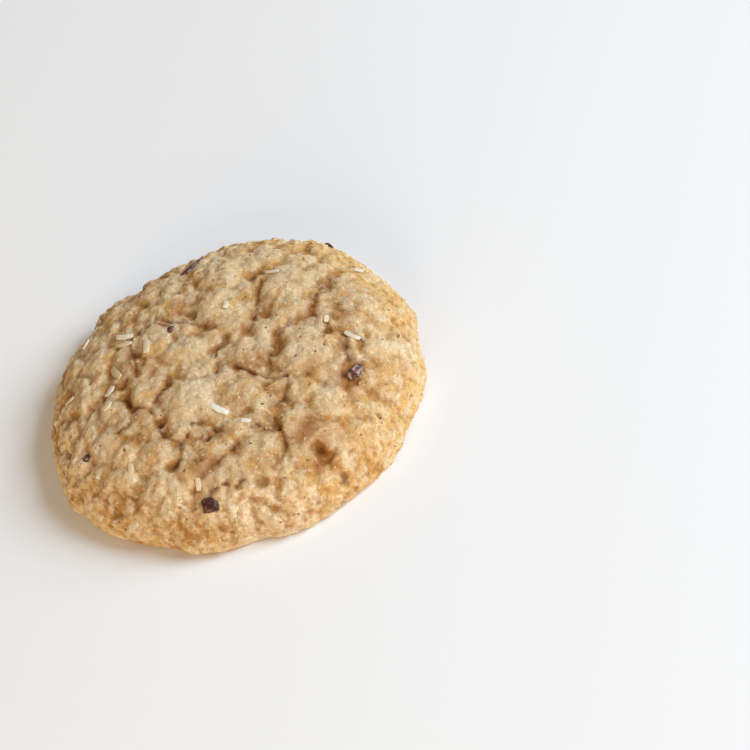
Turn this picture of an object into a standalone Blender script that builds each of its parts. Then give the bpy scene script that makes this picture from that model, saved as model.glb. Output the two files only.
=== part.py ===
"""A baked drop cookie with coconut shreds and nut bits, lying flat on its underside.

Blender works in metres. Every named size here is in millimetres and is turned into metres
when a mesh is filled. The origin is the centre of the underside, +Z points up, and the
near side of the cookie faces -Y.
"""

import math
import random

import bmesh
import bpy
import numpy as np
from mathutils import Matrix, Vector, noise
from mathutils.bvhtree import BVHTree

MM = 0.001

# Driving dimensions of the plain cookie
DIAMETER = 72.0
CROWN_HEIGHT = 13.6
CROWN_POWER = 3.2  # 2 is a plain dome, and a higher power gives a flatter top
FOOT_HEIGHT = 2.0  # of the widest ring over the table
FOOT_TUCK = 1.5  # how far the flat underside ends inside the widest ring
RADIUS = DIAMETER / 2

# The outline bulges and dips: plan angle and half width in degrees, and reach
RIM_LOBES = (
    (0, 5, 0.5),
    (17, 12, -0.6),
    (46, 8, 0.9),
    (62, 10, 0.5),
    (91, 8, -1.8),
    (106, 6, -1.3),
    (118, 5, 0.3),
    (130, 6, -1.0),
    (163, 9, 0.4),
    (190, 7, 0.7),
    (229, 8, -1.3),
    (256, 10, -1.0),
    (259, 4, -0.9),
    (282, 6, 0.2),
    (298, 9, 0.4),
    (317, 5, -0.5),
    (346, 7, -0.8),
)
RIM_RAGGED = 0.35  # small seeded waves of the bottom edge
RIM_WAVES = 16  # waves round the edge

# The large lumps of dough that show on the crown: x, y and radius
LUMPS = (
    (-8.0, -7.5, 6.2),
    (15.5, -7.0, 6.2),
    (-10.0, 11.0, 4.4),
    (-14.5, -0.5, 4.4),
    (-12.0, -12.0, 3.6),
    (3.5, 12.5, 5.4),
    (-5.5, 5.0, 4.8),
    (-4.0, -0.5, 3.8),
    (5.5, -1.5, 5.2),
    (9.5, 2.5, 2.8),
    (15.0, 4.5, 4.6),
    (17.0, 10.5, 5.4),
    (7.0, 21.0, 5.6),
    (-5.5, 18.5, 4.4),
    (-21.0, 14.5, 4.0),
    (-25.5, 7.0, 3.8),
    (-21.5, -0.5, 3.4),
    (-25.0, -6.0, 4.0),
    (-19.0, -14.0, 4.4),
    (-25.0, -14.5, 3.8),
    (-20.5, -22.5, 6.2),
    (-8.5, -18.5, 3.2),
    (-3.5, -17.5, 3.4),
    (1.0, -10.5, 4.0),
    (3.5, -14.5, 3.2),
    (11.0, -15.0, 3.4),
    (7.5, -20.0, 3.0),
    (15.0, -20.0, 4.2),
    (-0.5, -24.5, 4.4),
    (6.5, -27.0, 2.6),
    (-5.5, -26.5, 3.6),
    (3.0, -33.0, 4.6),
    (17.5, -28.0, 4.0),
    (25.0, -4.0, 3.4),
)
LUMP_RISE = 0.23  # a lump's height, as a share of its radius
LUMP_POWER = 2.5  # 2 is a round cap, and a higher power gives steeper sides
LUMP_BLEND = 0.32  # how softly one lump runs into the next

# Smaller lumps fill what is left of the crown and the side
FILLER_SEED = 11
FILLER_RADIUS = (1.9, 4.0)
FILLER_TRIES = 5000
FILLER_CLEAR = 0.62  # least distance of two lumps, as a share of their radii together
RIGHT_RIM_START = 25.0  # the smooth baked rim at +X begins here
RIGHT_RIM_CALM = 0.45  # and keeps this share of the relief
SIDE_HEIGHT = (8.0, 2.5)  # the side begins here on the way down, and is calmest here
SIDE_CALM = 0.55

# Cobbles are the crumb that shows from a step away
COBBLE_SIZE = 2.6
COBBLE_RISE = 0.40
COBBLE_MEAN = 0.24  # of the squared distance to a cobble's middle, in cobble sizes
ROUGH_SIZE = 3.0  # uneven rises and dips that follow no lump
ROUGH_RISE = 0.42
ROUGH_OCTAVES = 3
WARP_SEED = 3
WARP_SIZE = 5.0
WARP_REACH = 0.9
VALLEY_DROP = 0.55  # the valleys between lumps lie this far under the plain crown

# Furrows: depth, width, and the plan points that each runs through
FURROW_DEPTH = 0.55  # a furrow's real depth, as a share of the depth in its row
BREAK_SIZE = 2.2  # furrows run deeper and shallower along their length, at this scale
BREAK_MIDDLE, BREAK_REACH = 0.85, 1.3
BREAK_LIMITS = (0.3, 1.3)
FURROWS = (
    (1.0, 1.2, ((-11.0, 16.0), (-14.0, 14.5), (-14.5, 12.0), (-15.0, 7.5), (-15.5, 5.0))),
    (0.6, 0.7, ((-17.5, 5.5), (-22.5, 4.0))),
    (1.0, 0.9, ((-18.5, 2.0), (-18.0, -2.0), (-15.5, -4.5), (-12.5, -2.5), (-10.5, 1.0))),
    (0.6, 0.6, ((-18.5, -2.5), (-20.5, -5.0), (-22.5, -5.0))),
    (1.1, 1.0, ((-15.0, -8.0), (-15.0, -11.5), (-13.0, -15.5), (-14.0, -18.0), (-16.5, -18.5))),
    (0.7, 0.6, ((-14.0, -18.5), (-11.0, -20.0))),
    (0.8, 0.6, ((-11.5, -14.5), (-10.0, -12.5), (-7.0, -13.5), (-6.0, -15.5), (-8.0, -16.5))),
    (0.7, 0.9, ((-10.0, -22.0), (-7.5, -22.0), (-3.5, -21.0))),
    (0.6, 0.7, ((-11.5, -26.5), (-8.5, -26.5), (-7.5, -28.0), (-5.5, -28.0))),
    (0.8, 1.1, ((9.5, -11.5), (6.5, -16.0), (4.5, -18.5), (3.0, -21.5))),
    (0.6, 0.6, ((0.5, -18.5), (1.5, -20.5), (4.5, -21.5))),
    (1.0, 1.1, ((4.5, -21.5), (4.0, -25.5), (1.5, -28.5))),
    (0.9, 0.6, ((2.0, -4.0), (3.5, -7.0), (5.5, -8.5), (9.5, -11.0))),
    (1.0, 1.4, ((14.0, 1.0), (11.0, -1.5), (8.0, -5.0), (7.5, -8.5))),
    (0.8, 0.9, ((2.5, 4.5), (0.0, 2.5), (-1.0, -0.5), (-1.5, -3.0))),
    (0.8, 1.3, ((25.0, 9.0), (22.0, 6.5), (19.5, 4.0), (18.0, 1.0))),
    (0.9, 1.0, ((21.0, -1.5), (20.0, -4.5), (18.0, -8.0))),
    (0.7, 0.6, ((22.5, -6.0), (25.0, -9.0))),
    (1.4, 1.9, ((21.5, -8.0), (21.0, -12.0), (19.0, -16.0))),
    (0.6, 0.9, ((0.0, 9.0), (-3.5, 12.5), (-5.0, 13.0), (-8.0, 17.0))),
    (0.6, 0.9, ((13.0, 14.5), (11.0, 11.0), (8.0, 4.5))),
)

# Round pits: x, y, radius and depth
PITS = (
    (9.5, -28.5, 2.0, 1.5),
    (6.0, -10.5, 1.0, 0.7),
    (-15.0, -8.0, 1.0, 0.6),
    (-2.5, -34.5, 1.3, 1.0),
    (11.0, -33.5, 1.3, 0.8),
    (12.0, 16.5, 1.6, 0.8),
    (-22.5, -9.5, 1.0, 0.7),
    (-3.0, -29.5, 1.5, 0.5),
    (-1.5, 14.0, 1.2, 0.7),
    (-25.0, -19.5, 1.4, 0.6),
    (-29.5, -17.5, 1.3, 0.6),
    (-24.0, 9.5, 1.2, 0.6),
    (-26.0, 3.5, 1.2, 0.7),
    (22.0, -25.0, 1.2, 0.6),
)

# Coconut shreds: x, y, turn in degrees, length and width
SHREDS = (
    (-4.0, -12.0, -56, 3.8, 1.3),
    (-14.5, 16.0, -33, 3.4, 1.5),
    (-15.0, 14.0, -28, 3.0, 0.9),
    (-11.5, 10.5, 75, 3.6, 1.3),
    (-18.5, 8.5, -72, 4.2, 1.5),
    (-21.0, 5.0, 39, 2.5, 1.3),
    (-22.5, 1.5, 30, 2.2, 1.5),
    (5.0, 11.0, 60, 1.6, 1.1),
    (-0.5, -17.0, -30, 1.8, 1.0),
    (23.5, -7.5, -55, 3.4, 1.0),
    (20.5, -2.0, 70, 1.6, 1.0),
    (15.5, 16.0, -33, 2.8, 1.1),
    (-13.0, -24.0, 70, 2.4, 1.2),
    (-23.0, -14.0, 70, 2.2, 1.2),
    (-32.0, 1.0, 83, 4.2, 1.4),
)
SHRED_THICK = 0.5
SHRED_SUNK = 0.15  # of its middle below the dough's surface
SHRED_BEND = 0.03  # of its length
SHRED_WIDTH = 0.36  # of its length, where no width is named
FAR_SHREDS = 8  # round the far side, which carries them like the crown
FAR_SHRED_SIZE = (2.2, 3.8)
FAR_ARC = (8, 172)  # plan angles of the far side
FAR_HEIGHT = (3.5, 9.5)

# A chocolate chip and nut bits: x, y, turn in degrees, length, width and height
CHIP = (-12.5, -28.5, -12, 2.8, 2.8, 2.2)
CHIP_SUNK = 0.5
CHIP_CORNER = (Vector((0.34, 0.30, 0.20)), Vector((0.72, 0.62, 0.30)))  # of a unit block
CHIP_DULL = 0.14
BITS = (
    (21.0, -15.5, 35, 3.8, 3.2, 2.6),
    (-6.0, 12.0, 20, 2.2, 1.7, 1.2),
    (2.0, 27.3, 24, 7.0, 1.9, 1.3),
    (-30.0, -5.5, 20, 2.3, 1.6, 0.9),
)
BIT_SIDES = 7
BIT_CUT = 0.36  # how far from its middle a bit is broken flat, as a share of its size
BIT_SUNK = 0.1  # of its height below the dough's surface
FAR_BITS = 3
FAR_BIT_SIZE = (1.6, 2.8)
TOPPING_SEED = 5
SEAT_REACH = 1.4  # a topping follows the mean slope of the dough this far round

# Meshes
BLANK_SUBDIVISIONS = 7
BODY_TRIANGLES = 9200
UNDERSIDE_SHARE = 0.12  # how densely the flat underside is meshed beside the crown


def plain_profile():
    """The plain cookie's half section, from the middle of the crown round to the underside's."""
    turn = np.linspace(0, math.pi / 2, 181)
    crown_r = RADIUS * np.sin(turn)
    crown_z = FOOT_HEIGHT + (CROWN_HEIGHT - FOOT_HEIGHT) * np.sqrt(
        np.clip(1 - np.sin(turn) ** CROWN_POWER, 0, 1)
    )
    tuck = np.linspace(0, math.pi / 2, 13)[1:]
    foot_r = RADIUS - FOOT_TUCK * (1 - np.cos(tuck))
    foot_z = FOOT_HEIGHT * (1 - np.sin(tuck))
    floor_r = np.linspace(RADIUS - FOOT_TUCK, 0, 60)[1:]
    floor_z = np.zeros_like(floor_r)
    r = np.concatenate([crown_r, foot_r, floor_r])
    z = np.concatenate([crown_z, foot_z, floor_z])
    return r, z


def profile_table():
    """Radius, height and normal along the profile, and the share of the mesh that lies before it."""
    r, z = plain_profile()
    step = np.hypot(np.diff(r), np.diff(z))
    weight = np.where(z[1:] > 0, 1.0, UNDERSIDE_SHARE)
    band = step * (r[1:] + r[:-1]) / 2 * weight
    share = np.concatenate([[0], np.cumsum(band)])
    slope_r = np.gradient(r)
    slope_z = np.gradient(z)
    length = np.hypot(slope_r, slope_z)
    return {
        "share": share / share[-1],
        "r": r,
        "z": z,
        "normal_r": -slope_z / length,
        "normal_z": slope_r / length,
    }


def on_profile(table, share, angle):
    """Places and normals of the plain cookie, in mm, for a share of the profile and a plan angle."""
    across, up = np.cos(angle), np.sin(angle)
    r = np.interp(share, table["share"], table["r"])
    normal_r = np.interp(share, table["share"], table["normal_r"])
    places = np.column_stack([r * across, r * up, np.interp(share, table["share"], table["z"])])
    normals = np.column_stack(
        [normal_r * across, normal_r * up, np.interp(share, table["share"], table["normal_z"])]
    )
    return places, normals / np.linalg.norm(normals, axis=1)[:, None]


def crown_height(x, y):
    """Height of the plain crown over a plan point, in mm."""
    inside = max(0.0, 1 - (math.hypot(x, y) / RADIUS) ** CROWN_POWER)
    return FOOT_HEIGHT + (CROWN_HEIGHT - FOOT_HEIGHT) * math.sqrt(inside)


def smooth_max(a, b, blend):
    """The larger of two heights, rounded over where they meet."""
    mix = np.clip(0.5 + 0.5 * (b - a) / blend, 0, 1)
    return a + (b - a) * mix + blend * mix * (1 - mix)


def smooth_step(low, high, value):
    t = np.clip((value - low) / (high - low), 0, 1)
    return t * t * (3 - 2 * t)


def all_lumps(table):
    """The named lumps, then seeded smaller ones wherever the crown and the side have room."""
    draw = random.Random(FILLER_SEED)
    crown_share = float(np.interp(1.0, table["z"][::-1], table["share"][::-1]))
    lumps = [(np.array([x, y, crown_height(x, y)]), radius) for x, y, radius in LUMPS]
    for _ in range(FILLER_TRIES):
        share = np.array([draw.uniform(0, crown_share)])
        angle = np.array([draw.uniform(0, 2 * math.pi)])
        radius = draw.uniform(*FILLER_RADIUS)
        centre = on_profile(table, share, angle)[0][0]
        if all(
            np.linalg.norm(centre - other) > FILLER_CLEAR * (radius + wide)
            for other, wide in lumps
        ):
            lumps.append((centre, radius))
    return lumps


def distance_to_line(points, line):
    """Plan distance from each point to a line of straight runs."""
    nearest = np.full(len(points), np.inf)
    for start, end in zip(line, line[1:]):
        start, run = np.array(start), np.array(end) - np.array(start)
        along = np.clip((points - start) @ run / (run @ run), 0, 1)
        away = np.linalg.norm(points - start - along[:, None] * run, axis=1)
        nearest = np.minimum(nearest, away)
    return nearest


def relief(places, lumps):
    """How far each place of the plain surface moves out along its normal, in mm."""
    noise.seed_set(WARP_SEED)
    warp = np.array([noise.noise_vector(Vector(p) / WARP_SIZE) for p in places])
    bent = places + WARP_REACH * warp
    rise = np.zeros(len(places))
    for centre, radius in lumps:
        apart = np.linalg.norm(bent - centre, axis=1) / radius
        rise = smooth_max(rise, LUMP_RISE * radius * (1 - apart**LUMP_POWER), LUMP_BLEND)
    cell = np.array([noise.voronoi(Vector(p) / COBBLE_SIZE)[0][0] for p in bent])
    rise += COBBLE_RISE * (COBBLE_MEAN - cell**2)
    rough = [noise.fractal(Vector(p) / ROUGH_SIZE, 1.0, 2.0, ROUGH_OCTAVES) for p in places]
    rise += ROUGH_RISE * np.array(rough)
    plan = bent[:, :2]
    on_top = places[:, 2] > FOOT_HEIGHT
    uneven = np.array([noise.noise(Vector(p) / BREAK_SIZE) for p in places])
    broken = np.clip(BREAK_MIDDLE + BREAK_REACH * uneven, *BREAK_LIMITS)
    for depth, width, line in FURROWS:
        apart = distance_to_line(plan, line) / (width * broken)
        groove = FURROW_DEPTH * depth * broken * np.exp(-(apart**2))
        rise -= np.where(on_top, groove, 0)
    for x, y, radius, depth in PITS:
        apart = np.linalg.norm(plan - np.array([x, y]), axis=1) / (radius * broken)
        rise -= np.where(on_top, depth * np.exp(-(apart**3)), 0)
    calm = 1 - (1 - RIGHT_RIM_CALM) * smooth_step(0, 6, places[:, 0] - RIGHT_RIM_START)
    calm *= 1 - (1 - SIDE_CALM) * smooth_step(*SIDE_HEIGHT, places[:, 2])
    return (rise - VALLEY_DROP) * calm


def rim_reach(angle):
    """How far the outline stands out of, or into, the plain circle at each plan angle."""
    reach = np.zeros(len(angle))
    for middle, half_width, lobe in RIM_LOBES:
        off = np.degrees(angle) - middle
        off = (off + 180) % 360 - 180
        reach += lobe * np.exp(-((off / half_width) ** 2))
    ring = np.column_stack([np.cos(angle), np.sin(angle)]) * RIM_WAVES / (2 * math.pi)
    ragged = np.array([noise.noise(Vector((x, y, 3.7))) for x, y in ring])
    return reach + 2 * RIM_RAGGED * ragged


def baked_surface(sphere, table, lumps):
    """Slides the points of a unit sphere onto the cookie's surface, in mm."""
    share = (1 - sphere[:, 2]) / 2
    angle = np.arctan2(sphere[:, 1], sphere[:, 0])
    places, normals = on_profile(table, share, angle)
    from_middle = np.hypot(places[:, 0], places[:, 1]) / RADIUS
    out = np.column_stack([np.cos(angle), np.sin(angle), np.zeros(len(angle))])
    spread = rim_reach(angle) * from_middle**3
    lifted = smooth_step(0.0, 1.5, places[:, 2])
    return places + out * spread[:, None] + normals * (relief(places, lumps) * lifted)[:, None]


def plain_material(name, colour, roughness):
    material = bpy.data.materials.new(name)
    material.use_nodes = True
    shader = material.node_tree.nodes["Principled BSDF"]
    shader.inputs["Base Color"].default_value = (*colour, 1)
    shader.inputs["Roughness"].default_value = roughness
    return material


def put(mesh, name, collection, materials):
    piece = bpy.data.objects.new(name, mesh)
    collection.objects.link(piece)
    for material in materials:
        mesh.materials.append(material)
    return piece


def apply_modifier(piece, modifier):
    bpy.ops.object.select_all(action="DESELECT")
    bpy.context.view_layer.objects.active = piece
    piece.select_set(True)
    bpy.ops.object.modifier_apply(modifier=modifier.name)


def make_body(collection, materials):
    """The dough: a fine sphere formed into the cookie, then thinned where it is even."""
    bm = bmesh.new()
    bmesh.ops.create_icosphere(bm, subdivisions=BLANK_SUBDIVISIONS, radius=1.0)
    sphere = np.array([vertex.co for vertex in bm.verts])
    table = profile_table()
    formed = baked_surface(sphere, table, all_lumps(table)) * MM
    for vertex, place in zip(bm.verts, formed):
        vertex.co = place
    faces = len(bm.faces)
    mesh = bpy.data.meshes.new("cookie")
    bm.to_mesh(mesh)
    bm.free()
    body = put(mesh, "cookie", collection, materials)
    thin = body.modifiers.new("thin", "DECIMATE")
    thin.ratio = BODY_TRIANGLES / faces
    apply_modifier(body, thin)
    for vertex in body.data.vertices:
        if vertex.co.z < 0.1 * MM:
            vertex.co.z = 0.0
    return body


def make_shred(name, length, width, collection, material):
    """A thin strip of coconut: narrower at its ends and bent along its length."""
    bm = bmesh.new()
    bmesh.ops.create_cube(bm, size=1.0)
    along = [e for e in bm.edges if abs(e.verts[0].co.x - e.verts[1].co.x) > 0.5]
    bmesh.ops.subdivide_edges(bm, edges=along, cuts=2, use_grid_fill=True)
    for vertex in bm.verts:
        end = abs(2 * vertex.co.x)
        x = vertex.co.x * length
        y = vertex.co.y * width * (1 - 0.35 * end**2) + SHRED_BEND * length * (end**2 - 0.5)
        z = vertex.co.z * SHRED_THICK * (1 - 0.3 * end)
        vertex.co = Vector((x, y, z)) * MM
    mesh = bpy.data.meshes.new(name)
    bm.to_mesh(mesh)
    bm.free()
    return put(mesh, name, collection, [material])


def make_bit(name, length, width, height, draw, collection, material):
    """A broken bit of nut: a small ball with uneven, flattened sides."""
    bm = bmesh.new()
    bmesh.ops.create_icosphere(bm, subdivisions=2, radius=0.5)
    cut = [Vector([draw.uniform(-1, 1) for _ in range(3)]).normalized() for _ in range(BIT_SIDES)]
    for vertex in bm.verts:
        place = vertex.co.copy()
        for side in cut:
            over = place.dot(side) - BIT_CUT
            if over > 0:
                place -= side * over
        vertex.co = Vector((place.x * length, place.y * width, place.z * height)) * MM
    mesh = bpy.data.meshes.new(name)
    bm.to_mesh(mesh)
    bm.free()
    return put(mesh, name, collection, [material])


def make_chip(name, length, width, height, collection, material):
    """A block of chocolate with one corner broken off and its edges dulled."""
    bm = bmesh.new()
    bmesh.ops.create_cube(bm, size=1.0)
    corner, outwards = CHIP_CORNER
    block = bm.verts[:] + bm.edges[:] + bm.faces[:]
    cut = bmesh.ops.bisect_plane(
        bm, geom=block, plane_co=corner, plane_no=outwards, clear_outer=True
    )
    rim = [edge for edge in cut["geom_cut"] if isinstance(edge, bmesh.types.BMEdge)]
    bmesh.ops.edgeloop_fill(bm, edges=rim)
    bmesh.ops.bevel(bm, geom=bm.edges[:], offset=CHIP_DULL, segments=1, affect="EDGES")
    bmesh.ops.recalc_face_normals(bm, faces=bm.faces[:])
    for vertex in bm.verts:
        vertex.co = Vector((vertex.co.x * length, vertex.co.y * width, vertex.co.z * height)) * MM
    mesh = bpy.data.meshes.new(name)
    bm.to_mesh(mesh)
    bm.free()
    return put(mesh, name, collection, [material])


def seat(piece, tree, start, inwards, turn, sunk):
    """Lays a topping on the dough where a line from start meets it, sunk a little."""
    place = tree.ray_cast(start, inwards)[0]
    around = tree.find_nearest_range(place, SEAT_REACH * MM)
    normal = sum((near[1] for near in around), Vector()).normalized()
    heading = Vector((math.cos(math.radians(turn)), math.sin(math.radians(turn)), 0))
    along = (heading - normal * heading.dot(normal)).normalized()
    lay = Matrix((along, normal.cross(along), normal)).transposed().to_4x4()
    piece.matrix_world = Matrix.Translation(place - normal * sunk * MM) @ lay


def from_above(x, y):
    return Vector((x * MM, y * MM, 2 * CROWN_HEIGHT * MM)), Vector((0, 0, -1))


def from_the_side(angle, height):
    """A level line towards the cookie's axis, at a plan angle in degrees and a height in mm."""
    out = Vector((math.cos(math.radians(angle)), math.sin(math.radians(angle)), 0))
    return out * DIAMETER * MM + Vector((0, 0, height * MM)), -out


def far_angles(count, draw):
    """Plan angles spread over the far side, one in each equal share of it."""
    start, end = FAR_ARC
    share = (end - start) / count
    return [start + share * (n + draw.uniform(0.15, 0.85)) for n in range(count)]


def make_toppings(body, collection, coconut, nut):
    tree = BVHTree.FromObject(body, bpy.context.evaluated_depsgraph_get())
    draw = random.Random(TOPPING_SEED)
    for n, (x, y, turn, length, width) in enumerate(SHREDS):
        shred = make_shred(f"shred_{n}", length, width, collection, coconut)
        seat(shred, tree, *from_above(x, y), turn, SHRED_SUNK)
    for n, angle in enumerate(far_angles(FAR_SHREDS, draw)):
        length = draw.uniform(*FAR_SHRED_SIZE)
        shred = make_shred(f"far_shred_{n}", length, SHRED_WIDTH * length, collection, coconut)
        line = from_the_side(angle, draw.uniform(*FAR_HEIGHT))
        seat(shred, tree, *line, draw.uniform(0, 180), SHRED_SUNK)
    x, y, turn, *sides = CHIP
    chip = make_chip("chip", *sides, collection, nut)
    seat(chip, tree, *from_above(x, y), turn, CHIP_SUNK)
    for n, (x, y, turn, length, width, height) in enumerate(BITS):
        bit = make_bit(f"bit_{n}", length, width, height, draw, collection, nut)
        seat(bit, tree, *from_above(x, y), turn, BIT_SUNK * height)
    for n, angle in enumerate(far_angles(FAR_BITS, draw)):
        length = draw.uniform(*FAR_BIT_SIZE)
        line = from_the_side(angle, draw.uniform(*FAR_HEIGHT))
        turn = draw.uniform(0, 180)
        bit = make_bit(f"far_bit_{n}", length, 0.8 * length, 0.6 * length, draw, collection, nut)
        seat(bit, tree, *line, turn, BIT_SUNK * length)


def fuse(body, toppings):
    """One union of the dough with all its toppings, which are then removed."""
    union = body.modifiers.new("toppings", "BOOLEAN")
    union.operation = "UNION"
    union.operand_type = "COLLECTION"
    union.collection = toppings
    union.solver = "EXACT"
    union.material_mode = "TRANSFER"
    apply_modifier(body, union)
    for topping in list(toppings.objects):
        bpy.data.objects.remove(topping)
    bpy.data.collections.remove(toppings)


def main():
    for old in list(bpy.data.objects):
        bpy.data.objects.remove(old)
    cookie = bpy.data.collections.new("coconut_cookie")
    toppings = bpy.data.collections.new("toppings")
    bpy.context.scene.collection.children.link(cookie)
    bpy.context.scene.collection.children.link(toppings)
    dough = plain_material("dough", (0.56, 0.38, 0.21), 0.85)
    coconut = plain_material("coconut", (0.80, 0.72, 0.58), 0.6)
    nut = plain_material("nut", (0.10, 0.03, 0.015), 0.55)
    body = make_body(cookie, [dough, coconut, nut])
    make_toppings(body, toppings, coconut, nut)
    bpy.context.view_layer.update()
    fuse(body, toppings)
    body.data.shade_flat()
    print("cookie:", len(body.data.polygons), "faces")


main()
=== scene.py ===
# %% [markdown]
# A baked drop cookie, modelled for a close look. The real one is a ball of stiff dough that
# slumped in the oven: a lumpy pale crown, a golden rim, a flat underside, and shreds of coconut
# and bits of nut baked in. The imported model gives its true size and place. It is loaded first,
# so that every piece made below can be set against it.

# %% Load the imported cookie
import math
import random

import bmesh
import bpy
import numpy as np
from mathutils import Matrix, Vector, noise
from mathutils.bvhtree import BVHTree


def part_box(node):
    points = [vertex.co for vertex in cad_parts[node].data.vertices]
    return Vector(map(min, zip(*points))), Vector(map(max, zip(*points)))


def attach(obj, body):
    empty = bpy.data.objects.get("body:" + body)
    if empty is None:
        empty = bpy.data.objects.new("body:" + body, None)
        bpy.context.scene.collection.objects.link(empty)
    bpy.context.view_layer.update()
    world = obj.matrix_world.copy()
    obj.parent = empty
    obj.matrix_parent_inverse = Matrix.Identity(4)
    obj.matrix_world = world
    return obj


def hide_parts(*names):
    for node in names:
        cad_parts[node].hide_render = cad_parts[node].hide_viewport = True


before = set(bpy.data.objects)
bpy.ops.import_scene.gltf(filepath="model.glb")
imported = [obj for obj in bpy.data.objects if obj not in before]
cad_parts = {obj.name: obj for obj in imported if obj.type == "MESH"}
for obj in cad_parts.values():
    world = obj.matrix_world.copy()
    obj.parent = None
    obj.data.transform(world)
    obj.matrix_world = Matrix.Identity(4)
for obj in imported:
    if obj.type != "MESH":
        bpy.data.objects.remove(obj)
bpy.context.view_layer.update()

MM = 0.001
low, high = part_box("cookie")
print("packed cookie, mm:", [round(side / MM, 1) for side in high - low])

# %% [markdown]
# The camera comes before the pieces, because it decides how much detail shows. It looks down on
# the cookie at 46 degrees from 0.6 m away, through a long lens, and it is rolled a little, so the
# oval of the cookie rises to the right. The middle of the cookie sits left of and below the
# middle of the picture, and turning the whole camera by that small angle puts it there.

# %% The camera
PICTURE = 750  # pixels a side
CAMERA_TILT = math.radians(46.0)
CAMERA_ROLL = math.radians(24.8)
CAMERA_AWAY = 0.600
PIXELS_PER_MM = 5.40
COOKIE_PIXEL = (235.3, 390.6)  # where the picture shows the point that the camera is aimed by
AIM = Vector((0, 0, 3.6 * MM))


def add_camera():
    forward = Vector((0, math.cos(CAMERA_TILT), -math.sin(CAMERA_TILT)))
    level_up = Vector((0, math.sin(CAMERA_TILT), math.cos(CAMERA_TILT)))
    level_right = Vector((1, 0, 0))
    right = level_right * math.cos(CAMERA_ROLL) - level_up * math.sin(CAMERA_ROLL)
    up = level_right * math.sin(CAMERA_ROLL) + level_up * math.cos(CAMERA_ROLL)
    facing = Matrix((right, up, -forward)).transposed()
    focal = PIXELS_PER_MM * CAMERA_AWAY / MM
    middle = PICTURE / 2
    seen = Vector((COOKIE_PIXEL[0] - middle, middle - COOKIE_PIXEL[1], -focal)).normalized()
    aside = seen.rotation_difference(Vector((0, 0, -1))).to_matrix()
    bpy.ops.object.camera_add()
    camera = bpy.context.object
    camera.name = "camera"
    camera.matrix_world = Matrix.Translation(AIM - forward * CAMERA_AWAY) @ (facing @ aside).to_4x4()
    camera.data.sensor_width = 36
    camera.data.lens = focal / PICTURE * camera.data.sensor_width
    bpy.context.scene.camera = camera
    return camera


camera = add_camera()
print("camera at", [round(v, 3) for v in camera.location], "lens", round(camera.data.lens))

# %% [markdown]
# The cookie lies on a white surface in soft daylight. The window is a large cool lamp to the
# right and a little in front, which leaves the left sides of the lumps in shade. A weak warm
# lamp, low on the near left, stands for light that the room throws back, and the warm even light
# of the world fills the rest. Large lamps keep the edge of every shadow soft. The floor is a
# plane six metres wide, so its edges lie far outside the picture.

# %% Floor and light
FLOOR_SIDE = 6.0
TABLE_WHITE = (0.86, 0.86, 0.865, 1)
TABLE_ROUGHNESS = 0.6
LAMPS = {
    # name: place, side of its square, watts, colour
    "window": ((1.00, -0.28, 0.70), 0.75, 19.6, (0.85, 1.0, 1.16)),
    "room": ((-0.45, -0.80, 0.22), 0.60, 6.4, (1.0, 0.84, 0.62)),
}
WORLD_LIGHT = 0.31
WORLD_COLOUR = (1.0, 0.77, 0.53, 1)

bpy.ops.mesh.primitive_plane_add(size=FLOOR_SIDE)
floor = bpy.context.object
floor.name = "floor"
table_finish = bpy.data.materials.new("white_table")
table_finish.use_nodes = True
table_shader = table_finish.node_tree.nodes["Principled BSDF"]
table_shader.inputs["Base Color"].default_value = TABLE_WHITE
table_shader.inputs["Roughness"].default_value = TABLE_ROUGHNESS
floor.data.materials.append(table_finish)

for name, (place, side, watts, colour) in LAMPS.items():
    turned = (-Vector(place)).to_track_quat("-Z", "Y").to_euler()
    bpy.ops.object.light_add(type="AREA", location=place, rotation=turned)
    lamp = bpy.context.object
    lamp.name = name
    lamp.data.size = side
    lamp.data.energy = watts
    lamp.data.color = colour

world = bpy.data.worlds.new("daylight")
world.use_nodes = True
world.node_tree.nodes["Background"].inputs["Color"].default_value = WORLD_COLOUR
world.node_tree.nodes["Background"].inputs["Strength"].default_value = WORLD_LIGHT
bpy.context.scene.world = world
bpy.context.scene.view_settings.view_transform = "Standard"
print("lamps:", ", ".join(LAMPS))

# %% [markdown]
# The dough is one solid. Its plain form is a turned one: a crown that is flatter than a ball, a
# widest ring just over the table, and a flat underside. A Screw modifier could turn that
# section, but it crowds its points in the middle. So the section is kept as a table, and the
# points of a fine ball are later slid onto it, which spreads them evenly.

# %% The plain section
DIAMETER = 72.0
RADIUS = DIAMETER / 2
CROWN_HEIGHT = 13.6
CROWN_POWER = 3.2  # 2 is a plain dome, and a higher power gives a flatter top
FOOT_HEIGHT = 2.0  # of the widest ring over the table
FOOT_TUCK = 1.5  # how far the flat underside ends inside the widest ring
UNDERSIDE_SHARE = 0.12  # how densely the flat underside is meshed beside the crown
CROWN_STEPS, FOOT_STEPS, UNDER_STEPS = 181, 13, 60


def plain_profile():
    """The half section, from the middle of the crown round to the middle of the underside."""
    turn = np.linspace(0, math.pi / 2, CROWN_STEPS)
    crown_r = RADIUS * np.sin(turn)
    crown_z = FOOT_HEIGHT + (CROWN_HEIGHT - FOOT_HEIGHT) * np.sqrt(
        np.clip(1 - np.sin(turn) ** CROWN_POWER, 0, 1)
    )
    tuck = np.linspace(0, math.pi / 2, FOOT_STEPS)[1:]
    foot_r = RADIUS - FOOT_TUCK * (1 - np.cos(tuck))
    foot_z = FOOT_HEIGHT * (1 - np.sin(tuck))
    floor_r = np.linspace(RADIUS - FOOT_TUCK, 0, UNDER_STEPS)[1:]
    floor_z = np.zeros_like(floor_r)
    return np.concatenate([crown_r, foot_r, floor_r]), np.concatenate([crown_z, foot_z, floor_z])


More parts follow.
